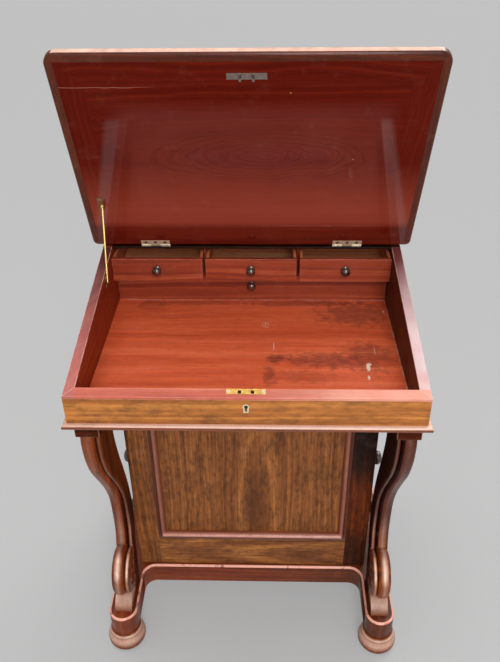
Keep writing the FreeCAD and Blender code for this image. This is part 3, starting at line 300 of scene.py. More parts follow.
def brass(name, clean, dull, gloss=0.32, tarnish=0.5, metal=1.0):
    """Old brass: bright where it is rubbed, brown in patches."""
    made, r, shader = fresh(name)
    spot = r.add("TexCoord"), "Object"
    marks = r.add("Group", {}, node_tree=HANDLED)
    feed(r, marks, Place=spot, Amount=1.0)
    patches = r.span(r.noise(spot, 160.0, 4.0, 0.65, 0.6), 0.35, 0.68, 0.0, tarnish)
    tone = r.blend(patches, tint(*clean), tint(*dull))
    tone = r.blend(r.times((marks, "Dust"), 0.3), tone, tint(70, 50, 30))
    rough = r.plus(r.times(patches, 0.3), gloss)
    bump = r.add("Bump", {"Height": r.noise(spot, 700.0, 2.0), "Strength": 0.15, "Distance": 0.0002})
    feed(r, shader, Base_Color=tone, Roughness=rough, Metallic=metal, Normal=(bump, 0))
    return made


def hide():
    """Dark writing leather with a pebbled grain and rubbed high spots."""
    made, r, shader = fresh("writing_leather")
    place = r.stored("lie", 1)
    spot = r.add("TexCoord"), "Object"
    pebble = r.add("TexVoronoi", {"Vector": spot, "Scale": 900.0}, feature="F1"), 0
    creases = r.noise(spot, 420.0, 3.0, 0.6)
    rubbed = r.span(r.noise(spot, 6.0, 4.0, 0.6), 0.45, 0.75)
    tone = r.blend(rubbed, tint(58, 22, 16), tint(96, 44, 30))
    tone = r.blend(r.span(pebble, 0.3, 0.7, 0.0, 0.35), tone, tint(30, 12, 10))
    tone = gilt_line(r, spot, place, tone)
    height = r.minus(creases, pebble)
    bump = r.add("Bump", {"Height": height, "Strength": 0.4, "Distance": 0.0003})
    feed(r, shader, Base_Color=tone, Roughness=r.span(rubbed, 0.0, 1.0, 0.55, 0.4), Normal=(bump, 0))
    return made


# ---------------------------------------------------------------- finishes

def blot(r, place, centre, reach, ragged, scale, edge=(1.5, 1.3)):
    """A patch with a ragged rim, as (mask node, output)."""
    moved = r.stretch(place, tuple(1 / size if size else 0.0 for size in reach),
                      tuple(-where / size if size else 0.0 for where, size in zip(centre, reach)))
    distance = r.length(moved)
    rim = r.plus(distance, r.times(r.noise(place, scale, 4.0, 0.65, 0.4), ragged))
    return r.span(rim, *edge)


def floor_marks(r, spot, place, tone):
    """Ink stains, dark patches, two dark bands along the rear wall and white scuffs on the well's floor, and
    dust along its walls.
    """
    ink, grime, chalk = tint(78, 34, 30), tint(92, 44, 36), tint(226, 196, 175)
    for x, y, wide, deep, strength, colour in (
            (0.047, -0.084, 0.020, 0.014, 0.75, ink), (0.034, -0.130, 0.012, 0.030, 0.6, ink),
            (0.12, -0.088, 0.075, 0.026, 0.62, grime), (0.20, -0.075, 0.05, 0.05, 0.55, ink),
            (0.10, -0.135, 0.07, 0.02, 0.35, grime), (0.19, 0.06, 0.075, 0.045, 0.6, grime),
            (0.10, 0.10, 0.13, 0.012, 0.6, grime), (-0.11, 0.10, 0.12, 0.010, 0.45, grime),
            (-0.19, 0.09, 0.03, 0.03, 0.3, grime)):
        mask = blot(r, spot, (x, y, 0), (wide, deep, 0), 2.2, 62.0, (2.2, 1.6))
        wear_and_highlight = r.span(r.noise(r.stretch(spot, (90.0, 260.0, 90.0)), 1.0, 3.0, 0.6), 0.3, 0.6, 0.45, 1.0)
        tone = r.blend(r.times(r.times(mask, wear_and_highlight), strength), tone, colour)
    for x, y, wide, deep, strength in (
            (0.198, -0.107, 0.0035, 0.010, 0.9), (0.196, -0.135, 0.002, 0.006, 0.8),
            (0.2005, -0.098, 0.004, 0.004, 0.8), (0.0418, -0.046, 0.0007, 0.013, 0.8),
            (0.246, 0.07, 0.002, 0.004, 0.7), (0.214, -0.06, 0.001, 0.010, 0.35)):
        mask = blot(r, spot, (x, y, 0), (wide, deep, 0), 0.9, 300.0, (1.6, 1.2))
        tone = r.blend(r.times(mask, strength), tone, chalk)
    for x, y, wide, deep in ((0.0245, 0.024, 0.0035, 0.007), (0.0295, 0.022, 0.003, 0.0085)):
        moved = r.stretch(spot, (1 / wide, 1 / deep, 0), (-x / wide, -y / deep, 0))
        reach = r.length(moved)
        loop = r.span(r.size(r.minus(reach, 1.0)), 0.28, 0.1)
        tone = r.blend(r.times(loop, 0.3), tone, chalk)
    across, back = r.parts(spot)[:2]
    side = r.span(across, 0.2505, 0.2532)
    rear = r.span(back, 0.1075, 0.1112)
    lint = r.span(r.noise(spot, 60.0, 4.0, 0.7), 0.42, 0.62)
    dust = r.times(r.maths("MAXIMUM", side, rear), lint)
    return r.blend(r.times(dust, 0.55), tone, tint(200, 160, 145))


def on_lid(r, spot):
    """The place in the lid's own frame."""
    return r.add("Mapping", {"Vector": spot, "Location": LID.translation, "Rotation": (LID_TURN, 0, 0)},
                 vector_type="TEXTURE"), 0


def lid_polish(r, spot):
    """The lid kept its hard polish low down, where the open case is mirrored in it."""
    across, up, out = r.parts(on_lid(r, spot))
    tall = r.times(r.span(up, 0.282, 0.27), r.span(out, -0.006, -0.002))
    half_width, narrows = 0.283, -0.25
    limit = r.maths("MULTIPLY_ADD", up, narrows)
    limit[0].inputs[2].default_value = half_width
    return r.times(tall, r.span(r.minus(limit, r.size(across)), -0.006, 0.002))


def painted_wall_light_and_shade(r, spot, place, tone):
    """Painted light makes the left wall lighter and more orange, and painted shade makes the right one darker.
    """
    x = r.parts(spot)[0]
    tone = r.tinge(r.span(x, -0.235, -0.25), tone, 1.5, 1.13, 0.8)
    return r.tinge(r.span(x, 0.235, 0.25), tone, 0.34, 0.46, 0.74)


def lipping_sheen_and_shade(r, spot, place, tone):
    """Painted sheen pales the right lipping and the right half of the front one, a fainter mauve sheen is
    painted on the left one, and painted shade darkens both side lippings towards the rear.
    """
    x, y = r.parts(spot)[:2]
    wear_and_highlight = r.span(r.noise(spot, 22.0, 4.0, 0.6), 0.3, 0.7, 0.6, 1.0)
    front = r.times(r.span(x, 0.0, 0.14), r.span(y, -0.234, -0.238))
    tone = r.blend(r.times(r.times(front, wear_and_highlight), 0.6), tone, tint(228, 164, 142))
    side = r.times(r.span(x, 0.252, 0.254), r.span(y, -0.238, -0.234))
    tone = r.blend(r.times(r.times(side, wear_and_highlight), 0.9), tone, tint(196, 176, 178))
    left = r.span(x, -0.252, -0.254)
    tone = r.blend(r.times(r.times(left, wear_and_highlight), 0.45), tone, tint(150, 100, 104))
    tone = r.tinge(r.times(left, r.span(y, -0.2, 0.06)), tone, 0.24, 0.14, 0.14)
    return r.tinge(r.times(side, r.span(y, -0.12, 0.06)), tone, 0.24, 0.06, 0.06)


def smudges(r, spot, place, tone):
    """Soft dark clouds along the grain."""
    cloud = r.span(r.noise(r.stretch(place, (13.0, 30.0, 30.0)), 1.0, 4.0, 0.6), 0.5, 0.66)
    return r.blend(r.times(cloud, 0.42), tone, tint(70, 40, 18))


def shaded_stem(r, spot, place, tone):
    """Painted shade darkens the right support above its volute."""
    x, _, z = r.parts(spot)
    dark = r.times(r.span(x, 0.1, 0.2), r.span(z, 0.21, 0.27))
    return r.tinge(dark, tone, 0.42, 0.26, 0.18)


def web_light_and_shade(r, spot, place, tone):
    """The sides that face the pedestal: painted light makes the left one browner and painted shade makes the
    right one nearly black.
    """
    x, _, z = r.parts(spot)
    left = r.times(r.span(x, 0.0, -0.1), r.span(z, 0.3, 0.38))
    left = r.times(left, r.span(z, 0.5825, 0.5805))
    right = r.times(r.span(x, 0.0, 0.1), r.span(z, 0.5825, 0.5805))
    tone = r.tinge(left, tone, 3.4, 4.0, 2.6)
    return r.tinge(right, tone, 0.3, 0.14, 0.18)


def left_stile_edge_shade(r, spot, place, tone):
    """Soft dark clouds, and painted shade on the outer edge at the top of the left stile."""
    tone = smudges(r, spot, place, tone)
    x, _, z = r.parts(spot)
    edge = r.times(r.span(x, -0.2285, -0.2335), r.span(z, 0.3, 0.38))
    return r.tinge(edge, tone, 0.3, 0.28, 0.28)


def stile_shade_from_top(r, spot, place, tone):
    """Painted shade darkens the dark stile at its top, and towards its foot it is lifted back to brown."""
    z = r.parts(spot)[2]
    faded = r.times(r.span(z, 0.37, 0.3), r.span(z, 0.14, 0.22))
    tone = r.tinge(r.span(z, 0.33, 0.42), tone, 0.34, 0.28, 0.26)
    return r.tinge(faded, tone, 2.8, 2.4, 1.3)


def darker_right(r, spot, place, tone):
    """The plinth's right half is made darker."""
    x = r.parts(spot)[0]
    return r.tinge(r.span(x, -0.05, 0.2), tone, 0.6, 0.68, 0.62)


def lid_marks(r, spot, place, tone):
    """A split in the lid's panel, a curved scratch, a painted reflection over most of the panel, a band of
    painted light low down, and two bruises.
    """
    place = on_lid(r, spot)
    across, up = r.parts(place)[:2]
    bend = r.times(r.minus(r.noise(place, 30.0, 2.0), 0.5), 0.004)
    line = r.span(r.size(r.plus(r.minus(up, 0.3335), bend)), 0.0009, 0.0003)
    reach = r.span(across, -0.13, -0.17)
    tone = r.blend(r.times(r.times(line, reach), 0.7), tone, tint(150, 96, 80))
    moved = r.stretch(place, (1, 1, 0), (-0.118, -0.082, 0))
    ring = r.length(moved)
    arc = r.span(r.size(r.minus(ring, 0.0335)), 0.0009, 0.0003)
    part = r.span(r.plus(across, up), 0.226, 0.236)
    tone = r.blend(r.times(r.times(arc, part), 0.75), tone, tint(24, 6, 4))
    # Painted reflection: a lighter mauve-red sheen over most of the panel.
    wide = r.span(r.size(r.minus(across, 0.008)), 0.222, 0.19)
    tall = r.times(r.span(up, 0.312, 0.285), r.span(up, 0.04, 0.08))
    painted_reflection = r.times(r.times(wide, tall), r.span(r.noise(place, 14.0, 3.0), 0.3, 0.7, 0.6, 1.0))
    tone = r.blend(r.times(painted_reflection, 0.42), tone, tint(112, 56, 50))
    # Painted light: a paler red band low on the lid.
    low_painted_light = r.times(r.span(up, 0.19, 0.09), r.span(up, 0.045, 0.06))
    tone = r.blend(r.times(low_painted_light, 0.55), tone, tint(150, 66, 48))
    drift = r.add("VectorMath", {0: r.stretch(place, (1, 1, 0)), 1: (0.0, 0.014, 0.0)}, operation="ADD"), 0
    for x, y, wide, deep, loops, strength in (
            (0.02, 0.205, 0.185, 0.048, 7.0, 0.34), (0.105, 0.21, 0.05, 0.024, 5.0, 0.3),
            (-0.07, 0.208, 0.045, 0.02, 4.0, 0.26)):
        eye = r.stretch(drift, (1 / wide, 1 / deep, 0), (-x / wide, -(y + 0.014) / deep, 0))
        reach = r.length(eye)
        reach = r.plus(reach, r.times(r.minus(r.noise(place, 19.0, 3.0), 0.5), 0.45))
        loop = r.span(r.maths("PINGPONG", r.times(reach, loops), 0.5), 0.26, 0.5)
        loop = r.times(loop, r.span(reach, 1.15, 0.9))
        tone = r.blend(r.times(loop, strength), tone, tint(62, 14, 12))
        tone = r.blend(r.span(reach, 0.75, 0.3, 0.0, 0.16), tone, tint(96, 34, 44))
    for x, y, size in ((0.165, 0.2, 0.0012), (0.063, 0.3235, 0.0012)):
        tone = r.blend(r.times(blot(r, place, (x, y, 0), (size, size, 0), 0.6, 300.0), 0.6), tone,
                       tint(176, 120, 104))
    return tone


def gilt_line(r, spot, place, tone):
    """A narrow tooled line inside the leather's edge."""
    across, up = r.parts(place)[:2]
    x = r.minus(0.2725, r.size(across))
    y = r.maths("MINIMUM", r.minus(up, 0.0145), r.minus(0.374, up))
    edge = r.maths("MINIMUM", x, y)
    for inset, width, strength in ((0.012, 0.0009, 0.85), (0.016, 0.0004, 0.7)):
        line = r.span(r.size(r.minus(edge, inset)), width, width * 0.6)
        rubbed = r.span(r.noise(spot, 40.0, 3.0, 0.7), 0.35, 0.6)
        tone = r.blend(r.times(r.times(line, rubbed), strength), tone, tint(196, 150, 78))
    return tone


CASE_WOOD = timber("case_mahogany", (112, 60, 20), (180, 108, 43), (219, 147, 67), rings=110.0,
                   wear_and_highlight=(226, 160, 118), mottle=0.35, marks=smudges)
TOP_WOOD = timber("top_mahogany", (92, 42, 20), (142, 76, 40), (176, 108, 62), rings=70.0, polish=0.4,
                  wear_and_highlight=(206, 136, 104))
RED_WOOD = timber("red_mahogany", (99, 32, 14), (144, 56, 31), (178, 85, 52), mottle=0.12, rings=110.0,
                  wear_and_highlight=(206, 116, 92))
WALL_WOOD = timber("wall_mahogany", (81, 26, 9), (116, 42, 19), (143, 66, 33), mottle=0.1,
                   rings=110.0, shine=0.15, polish=0.0, marks=painted_wall_light_and_shade)
LIPPING = timber("lipping_mahogany", (148, 62, 44), (194, 92, 69), (221, 123, 97), gloss=0.4,
                 wear_and_highlight=(240, 190, 174), use=1.4, mottle=0.1, shine=0.5, rings=140.0, marks=lipping_sheen_and_shade)
# Painted light: the nosing's top takes this much paler copy, while its edge and underside take TOP_WOOD.
LIT_NOSING_WOOD = timber("nosing_painted_light_mahogany", (169, 118, 99), (215, 174, 154), (241, 224, 213), gloss=0.36,
                     wear_and_highlight=(236, 200, 182), shine=0.5, mottle=0.1)
LID_WOOD = timber("lid_mahogany", (61, 9, 3), (88, 19, 8), (119, 37, 19), heart=(0.09, 0.212, -0.01),
                  lean=0.14, rings=120.0, wander=0.05, gloss=0.3, shine=0.04, polish=lid_polish, sheen=0.05,
                  mottle=0.1, fibre=0.25, depth=0.4, marks=lid_marks, dusty=0.03)
LID_EDGE_WOOD = timber("lid_edge_mahogany", (53, 15, 3), (82, 29, 6), (106, 46, 15), shine=0.2,
                       wear_and_highlight=(236, 190, 168), mottle=0.3)
FLOOR_WOOD = timber("well_floor_mahogany", (170, 62, 31), (215, 95, 56), (241, 129, 84), gloss=0.42,
                    polish=0.05, rings=70.0, heart=(0, -0.5, 0.02), lean=0.04, wander=0.06, marks=floor_marks,
                    use=1.5, mottle=0.14, wear_and_highlight=(220, 150, 130), depth=0.6)
VENEER = dict(dark=(78, 39, 14), mid=(140, 81, 38), light=(178, 114, 57), mottle=0.5, rings=150.0, wander=0.04,
              gloss=0.36, shine=0.2, polish=0.05, use=1.3, depth=0.8, fibre=0.6)
STILE_WOOD = timber("front_stile_veneer", marks=left_stile_edge_shade, **VENEER)
PANEL_WOOD = timber("pedestal_veneer", marks=smudges, **VENEER)
# A darker copy of the veneer, as painted shade on the right stile and on the rail under the lid.
SHADED_WOOD = timber("painted_shade_veneer", (33, 10, 2), (61, 24, 6), (89, 40, 12), mottle=0.6,
                     rings=130.0, gloss=0.4, shine=0.15, polish=0.0, marks=stile_shade_from_top)
BEAD_WOOD = timber("bead_mahogany", (80, 32, 14), (116, 56, 30), (148, 84, 52), gloss=0.34, shine=0.3,
                   wear_and_highlight=(214, 150, 134), mottle=0.1, polish=0.1)
SUPPORT_WOOD = timber("support_mahogany", (71, 22, 1), (118, 49, 6), (157, 74, 16), gloss=0.3,
                      shine=0.15, polish=0.12, sheen=0.12, mottle=0.25, rings=110.0, wear_and_highlight=(240, 202, 180),
                      marks=shaded_stem)
# A darker, duller copy of the support's mahogany, as painted shade on the sides that face the pedestal or the
# back, and on the caps.
SHADED_SUPPORT_WOOD = timber("support_shaded_mahogany", (42, 11, 3), (73, 25, 7), (103, 39, 13), gloss=0.42,
                    shine=0.06, polish=0.0, mottle=0.3, rings=110.0, dusty=0.06, wear_and_highlight=(150, 106, 84),
                    marks=web_light_and_shade)
PLINTH_WOOD = timber("plinth_mahogany", (79, 25, 6), (119, 48, 16), (153, 72, 30), wear_and_highlight=(222, 158, 138),
                     gloss=0.3, shine=0.25, polish=0.12, sheen=0.15, marks=darker_right)
# Painted light: the drawers' lining is made far paler than its wood, for the light that reaches inside them.
LIT_LINING = timber("drawer_lining", (185, 115, 77), (255, 171, 120), (255, 221, 161), gloss=0.6, polish=0.0,
                mottle=0.2, use=1.6, wear_and_highlight=(196, 120, 92), shine=0.2)
SIDE_LINING = timber("drawer_side_wood", (151, 70, 40), (204, 112, 70), (235, 151, 103), gloss=0.5,
                     polish=0.0, mottle=0.1, wear_and_highlight=(228, 152, 122), shine=0.3)
DRAWER_WOOD = timber("pale_drawer_wood", (134, 92, 58), (178, 128, 84), (206, 160, 112), gloss=0.55,
                     polish=0.0, mottle=0.15, wear_and_highlight=(214, 170, 128), shine=0.25)
KNOB_WOOD = timber("dark_knob", (33, 16, 12), (61, 29, 22), (94, 49, 37), gloss=0.2, shine=0.6,
                   polish=0.8, mottle=0.1)
OLD_BRASS = brass("old_brass", (238, 226, 194), (140, 124, 92), metal=0.75, gloss=0.42)
DARK_BRASS = brass("dark_brass", (148, 102, 60), (78, 48, 30), gloss=0.4, metal=0.8)
PLATE_BRASS = brass("plate_brass", (238, 198, 112), (176, 124, 60), gloss=0.34, tarnish=0.8, metal=0.85)
BRIGHT_BRASS = brass("bright_brass", (250, 226, 140), (206, 168, 84), gloss=0.3, tarnish=0.3, metal=0.85)
LOCK_STEEL = brass("lock_steel", (150, 146, 140), (84, 76, 68), gloss=0.42)
LEATHER = hide()


# ---------------------------------------------------------------- bench tools

# Faces that turn by less than this, in degrees, are one flat face, and corners this near are one corner.
FLAT_WITHIN, TOUCHING = 0.6, 1e-6


class Bench:
    """A piece being made: its mesh, the lie of its grain, which faces are arrises, and where highlight and
    shade are painted.
    """
    seed = random.Random(7)

    def __init__(self):
        self.take(bmesh.new())

    def take(self, bm):
        """Works on this mesh from now on, with a layer for each thing that the finishes read."""
        self.bm = bm
        self.lie = bm.loops.layers.float_vector.get("lie") or bm.loops.layers.float_vector.new("lie")
        self.arris = bm.faces.layers.float.get("arris") or bm.faces.layers.float.new("arris")
        self.crest = bm.verts.layers.float.get("crest") or bm.verts.layers.float.new("crest")
        self.grime = bm.verts.layers.float.get("grime") or bm.verts.layers.float.new("grime")
        return self

    def set_lie(self, faces, along, shift=None):
        """Writes each corner's place in its board: along the grain, across it and through it."""
        if shift is None:
            shift = [self.seed.uniform(-reach, reach) for reach in (1, 0.4, 0.05)]
        order = {"X": (0, 1, 2), "Y": (1, 2, 0), "Z": (2, 0, 1), "U": (0, 2, 1), "V": (1, 0, 2)}[along]
        for face in faces:
            for loop in face.loops:
                spot = loop.vert.co
                loop[self.lie] = Vector([spot[i] for i in order]) + Vector(shift)

    def ease(self, edges, width, segments=2):
        """Rounds sharp edges and marks the new faces as an arris."""
        made = bmesh.ops.bevel(self.bm, geom=edges, offset=width, offset_type="OFFSET", affect="EDGES",
                               segments=segments, profile=0.5, material=-1, clamp_overlap=True)
        for face in made["faces"]:
            face[self.arris] = 1.0

    def plank(self, low, high, along, width=0.6 * MM, slot=0):
        """A board between two corners, with its edges eased."""
        low, high = Vector(low), Vector(high)
        old = set(self.bm.faces)
        made = bmesh.ops.create_cube(self.bm, size=1.0)["verts"]
        for vert in made:
            vert.co = (low + high) / 2 + Vector([vert.co[i] * (high - low)[i] for i in range(3)])
        edges = in_order(edge for vert in made for edge in vert.link_edges)
        self.ease(edges, min(width, min(high - low) * 0.2))
        fresh_faces = [face for face in self.bm.faces if face not in old]
        self.set_lie(fresh_faces, along)
        for face in fresh_faces:
            face.material_index = slot

    def score(self, place, normal):
        """Cuts every face that a plane crosses, and keeps both sides."""
        bmesh.ops.bisect_plane(self.bm, geom=self.bm.verts[:] + self.bm.edges[:] + self.bm.faces[:],
                               plane_co=place, plane_no=normal)

    def turned(self, outline, centre, axis, scale, along, steps=40):
        """A turned piece: outline is (radius, distance along the axis) from one end to the other."""
        old = set(self.bm.verts)
        side = X if abs(axis.x) < 0.5 else Y
        verts = [self.bm.verts.new(side * radius * scale + axis * reach * scale) for radius, reach in outline]
        edges = [self.bm.edges.new(pair) for pair in zip(verts, verts[1:])]
        bmesh.ops.spin(self.bm, geom=verts + edges, cent=(0, 0, 0), axis=axis, angle=2 * math.pi, steps=steps,
                       use_merge=True)
        fresh_verts = [vert for vert in self.bm.verts if vert not in old]
        bmesh.ops.remove_doubles(self.bm, verts=fresh_verts, dist=TOUCHING)
        fresh_verts = [vert for vert in self.bm.verts if vert not in old]
        fresh_faces = in_order(face for vert in fresh_verts for face in vert.link_faces)
        bmesh.ops.recalc_face_normals(self.bm, faces=fresh_faces)
        bmesh.ops.translate(self.bm, verts=fresh_verts, vec=centre)
        self.set_lie(fresh_faces, along)
        return fresh_faces

    def set_down(self, name, finishes, node=None, body=None, turn=32.0):
        """Makes the mesh an object, puts it on its body and hides the node that it stands for."""
        mesh = bpy.data.meshes.new(name)
        self.bm.to_mesh(mesh)
        self.bm.free()
        piece = bpy.data.objects.new(name, mesh)
        bpy.context.scene.collection.objects.link(piece)
        for finish in finishes if isinstance(finishes, list) else [finishes]:
            mesh.materials.append(finish)
        mesh.shade_smooth()
        mesh.set_sharp_from_angle(angle=math.radians(turn))
        flats = piece.modifiers.new("flat_faces_first", "WEIGHTED_NORMAL")
        flats.keep_sharp = True
        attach(piece, body or BODY_OF[node])
        if node:
            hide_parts(node)
        return piece


def copied(node, frame_of=Matrix.Identity(4)):
    """A bench with the CAD node's own solids, in the given frame."""
    bm = bmesh.new()
    bm.from_mesh(frame["nodes"][node].data)
    bm.transform(frame_of.inverted())
    return Bench().take(bm)


def in_order(items):
    """Each item once, in the order they come, so that every run gives the same mesh."""
    return list(dict.fromkeys(items))


def made_whole(bm, flat=FLAT_WITHIN):
    """Joins loose triangles up and makes each flat face one face."""
    bmesh.ops.remove_doubles(bm, verts=bm.verts, dist=2 * TOUCHING)
    if flat:
        edges = in_order(edge for vert in bm.verts for edge in vert.link_edges)
        bmesh.ops.dissolve_limit(bm, angle_limit=math.radians(flat), verts=bm.verts[:], edges=edges)


def sharp_edges(faces, longer=4 * MM, sharper=35):
    """The edges that a maker's thumb would find: convex, long enough and sharp enough."""
    return [edge for edge in in_order(edge for face in faces for edge in face.edges)
            if len(edge.link_faces) == 2 and edge.is_convex and edge.calc_length() > longer
            and edge.calc_face_angle(0.0) > math.radians(sharper)]


def eased_copy(node, name, finishes, along, width=0.6 * MM, frame_of=Matrix.Identity(4), shift=None,
               dress=None, flat=FLAT_WITHIN):
    """The CAD node as the maker leaves it, with its sharp edges taken off."""
    bench = copied(node, frame_of)
    made_whole(bench.bm, flat=flat)
    bench.ease(sharp_edges(bench.bm.faces), width)
    bench.set_lie(bench.bm.faces, along, shift)
    if dress:
        dress(bench)
    bench.bm.transform(frame_of)
    return bench.set_down(name, finishes, node)


def mitred_copy(node, name, finishes, nearest, width=0.4 * MM, frame_of=Matrix.Identity(4), slots=None,
                dress=None):
    """A node of mitred lengths: nearest(point) names the length that a point is in, and ends in its grain."""
    whole = copied(node, frame_of).bm
    just_inside = 0.3 * MM
    owner = {face.index: nearest(face.calc_center_median() - face.normal * just_inside)
             for face in whole.faces}
    bench = Bench()
    for length in sorted(set(owner.values())):
        part = whole.copy()
        others = [face for face in part.faces if owner[face.index] != length]
        bmesh.ops.delete(part, geom=others, context="FACES")
        made_whole(part)
        strip = Bench().take(part)
        strip.ease(sharp_edges(part.faces), width)
        strip.set_lie(part.faces, length[-1])
        for face in part.faces:
            face.material_index = (slots or {}).get(length, 0)
        mesh = bpy.data.meshes.new("length")
        part.to_mesh(mesh)
        part.free()
        bench.bm.from_mesh(mesh)
        bpy.data.meshes.remove(mesh)
    whole.free()
    bench.take(bench.bm)
    if dress:
        dress(bench)
    bench.bm.transform(frame_of)
    return bench.set_down(name, finishes, node)


def board(name, finish, node, along, width=0.6 * MM):
    """A node that is one plain board, made afresh with eased edges."""
    bench = Bench()
    bench.plank(*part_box(node), along, width)
    bench.set_down(name, finish, node)


def refinish(node, finish):
    """Keeps a CAD node and gives it its finish."""
    for slot in frame["nodes"][node].material_slots:
        slot.material = finish


# ---------------------------------------------------------------- case

CASE_X, CASE_FRONT = 0.270, -0.254
SIDE_WALL, FRONT_WALL = 16.0, 18.0


def lipping_at(point):
    """The mitres run from the case's outer corners to its inner ones."""
    front = (point.y - CASE_FRONT) / FRONT_WALL
    sides = (CASE_X - abs(point.x)) / SIDE_WALL
    if front < sides:
        return "front_X"
    return "left_Y" if point.x < 0 else "right_Y"


# The bottom board is nosing beyond these lines, which run under the case's walls.
NOSING_X, NOSING_FRONT = 0.262, -0.245


def part_nosing(bench):
    """Finish 0 is the well's floor, 1 the nosing's top and arrises, paled as painted light, and 2 its edge and
    the underside.
    """
    for x in (-NOSING_X, NOSING_X):
        bench.score((x, 0, 0), X)
    bench.score((0, NOSING_FRONT, 0), Y)
    for face in bench.bm.faces:
        spot = face.calc_center_median()
        outside = abs(spot.x) > NOSING_X or spot.y < NOSING_FRONT
        if face.normal.z < -0.5:
            face.material_index = 2
        elif outside:
            face.material_index = 1 if face.normal.z > 0.5 or face[bench.arris] else 2
        else:
            face.material_index = 0


def make_case():
    """The sloping box: its boards, the lippings on its edges and the fixed top behind the lid."""
    eased_copy("case_front", "front_board", CASE_WOOD, "U")
    for side in ("left", "right"):
        def outside_first(bench, out=1 if side == "right" else -1):
            for face in bench.bm.faces:
                face.material_index = 0 if face.normal.x * out > 0.5 or face.normal.y > 0.5 else 1
        # The left board has a seat for the stay's plate let into its inner face, so its facets are kept.
        eased_copy(f"case_{side}_side", f"{side}_side_board", [CASE_WOOD, WALL_WOOD], "Y",
                   dress=outside_first, flat=0.0 if side == "left" else FLAT_WITHIN)
    mitred_copy("top_lippings", "edge_lippings", LIPPING, lipping_at, 0.8 * MM)
    eased_copy("case_bottom_board", "bottom_board", [FLOOR_WOOD, LIT_NOSING_WOOD, TOP_WOOD], "X", shift=(0, 0, 0),
               dress=part_nosing)
    eased_copy("case_top", "fixed_top", TOP_WOOD, "X")
    # The rail under the lid takes the darker copy of the veneer, as painted shade.
    eased_copy("hinge_rail", "rail_board", SHADED_WOOD, "X")
    eased_copy("case_back", "back_board", CASE_WOOD, "U")


# ---------------------------------------------------------------- lid

# In the lid's own frame: half its width, and its hinge and free edges.
LID_HALF, LID_HEEL, LID_FAR = 0.2865, 0.0005, 0.38799


def lid_length_at(point):
    """The mitres halve the corners, so a point is in the length whose edge it is nearest to."""
    reach = {"left_V": point.x + LID_HALF, "right_V": LID_HALF - point.x,
             "rear_X": point.y - LID_HEEL, "free_X": LID_FAR - point.y}
    return min(reach, key=reach.get)


def free_edge_highlight(bench):
    """Painted highlight along the lower corner of the free edge, the open lid's top."""
    for vert in bench.bm.verts:
        vert[bench.crest] = 0.9 if vert.co.y > LID_FAR - 1.5 * MM and vert.co.z < -1.5 * MM else 0.0


def make_lid():
    """The lid's edge, frame, panel and leather, all worked in the lid's own frame."""
    mitred_copy("lid_edge_moulding", "lid_moulded_edge", [LID_EDGE_WOOD, LID_WOOD], lid_length_at,
                frame_of=LID, slots={"rear_X": 1}, dress=free_edge_highlight)
    mitred_copy("lid_frame", "lid_mitred_frame", LID_WOOD, lid_length_at, 0.12 * MM, frame_of=LID)
    eased_copy("lid_panel", "lid_panel_board", LID_WOOD, "X", 0.12 * MM, frame_of=LID, shift=(0, 0, 0))
    eased_copy("lid_writing_leather", "lid_leather_skin", LEATHER, "X", 0.5 * MM, frame_of=LID,
               shift=(0, 0, 0))


# ---------------------------------------------------------------- drawers

KNOB = [(0.0, -0.02), (0.86, -0.02), (0.88, 0.1), (0.84, 0.2), (0.62, 0.28), (0.46, 0.42), (0.42, 0.6),
        (0.46, 0.78), (0.6, 0.9), (0.82, 1.02), (1.0, 1.2), (1.08, 1.42), (1.06, 1.66), (0.94, 1.88),
        (0.72, 2.05), (0.44, 2.16), (0.2, 2.2), (0.0, 2.21)]


# A drawer's sides, back and dividers are this thick, and its bottom runs between these levels.
THIN = 5 * MM
BOTTOM_LOW, BOTTOM_HIGH = 1.5 * MM, 5.5 * MM


def small_drawer_box(name, node):
    """Two sides, a back a little lower and a bottom let in between them."""
    low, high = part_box(node)
    left, right, rear = low.x + THIN, high.x - THIN, high.y - THIN
    bench = Bench()
    bench.plank(low, (left, high.y, high.z), "Y", 0.5 * MM, slot=1)
    bench.plank((right, low.y, low.z), high, "Y", 0.5 * MM, slot=1)
    bench.plank((left, rear, low.z), (right, high.y, high.z - 2 * MM), "U", 0.4 * MM)
    bench.plank((left, low.y, low.z + BOTTOM_LOW), (right, rear, low.z + BOTTOM_HIGH), "X", 0.2 * MM)
    bench.set_down(name, [LIT_LINING, SIDE_LINING], node)


def small_knob(name, node):
    """A turned knob as wide as the node's, standing on its drawer's front."""
    low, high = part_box(node)
    radius = (high.x - low.x) / 2
    bench = Bench()
    bench.turned(KNOB, ((low.x + high.x) / 2, front_of(node), (low.z + high.z) / 2), -Y, radius, "Y")
    bench.set_down(name, KNOB_WOOD, node, turn=60.0)


def front_of(knob):
    """The drawer front's face that a knob stands on."""
    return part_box(knob.replace("knob", "front"))[0].y


def make_drawers():
    """The drawers inside the case, and the shelf and dividers that they run between."""
    for drawer in ("left_small", "middle_small", "right_small", "long"):
        board(f"{drawer}_front", RED_WOOD, f"{drawer}_drawer_front", "U", 0.7 * MM)
        small_drawer_box(f"{drawer}_box", f"{drawer}_drawer_box")
        small_knob(f"{drawer}_turned_knob", f"{drawer}_drawer_knob")

    low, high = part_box("small_drawer_nest")
    shelf = low.z + 6 * MM
    bench = Bench()
    bench.plank(low, (high.x, high.y, shelf), "X")
    width = (high.x - low.x - 2 * THIN) / 3
    for i in (1, 2):
        x = low.x + i * (width + THIN)
        bench.plank((x - THIN, low.y, shelf), (x, high.y, high.z), "Z")
    bench.set_down("drawer_nest", WALL_WOOD, "small_drawer_nest")


# ---------------------------------------------------------------- pedestal

SIDE_DRAWERS = (1, 2, 3, 4)
POST = 22 * MM
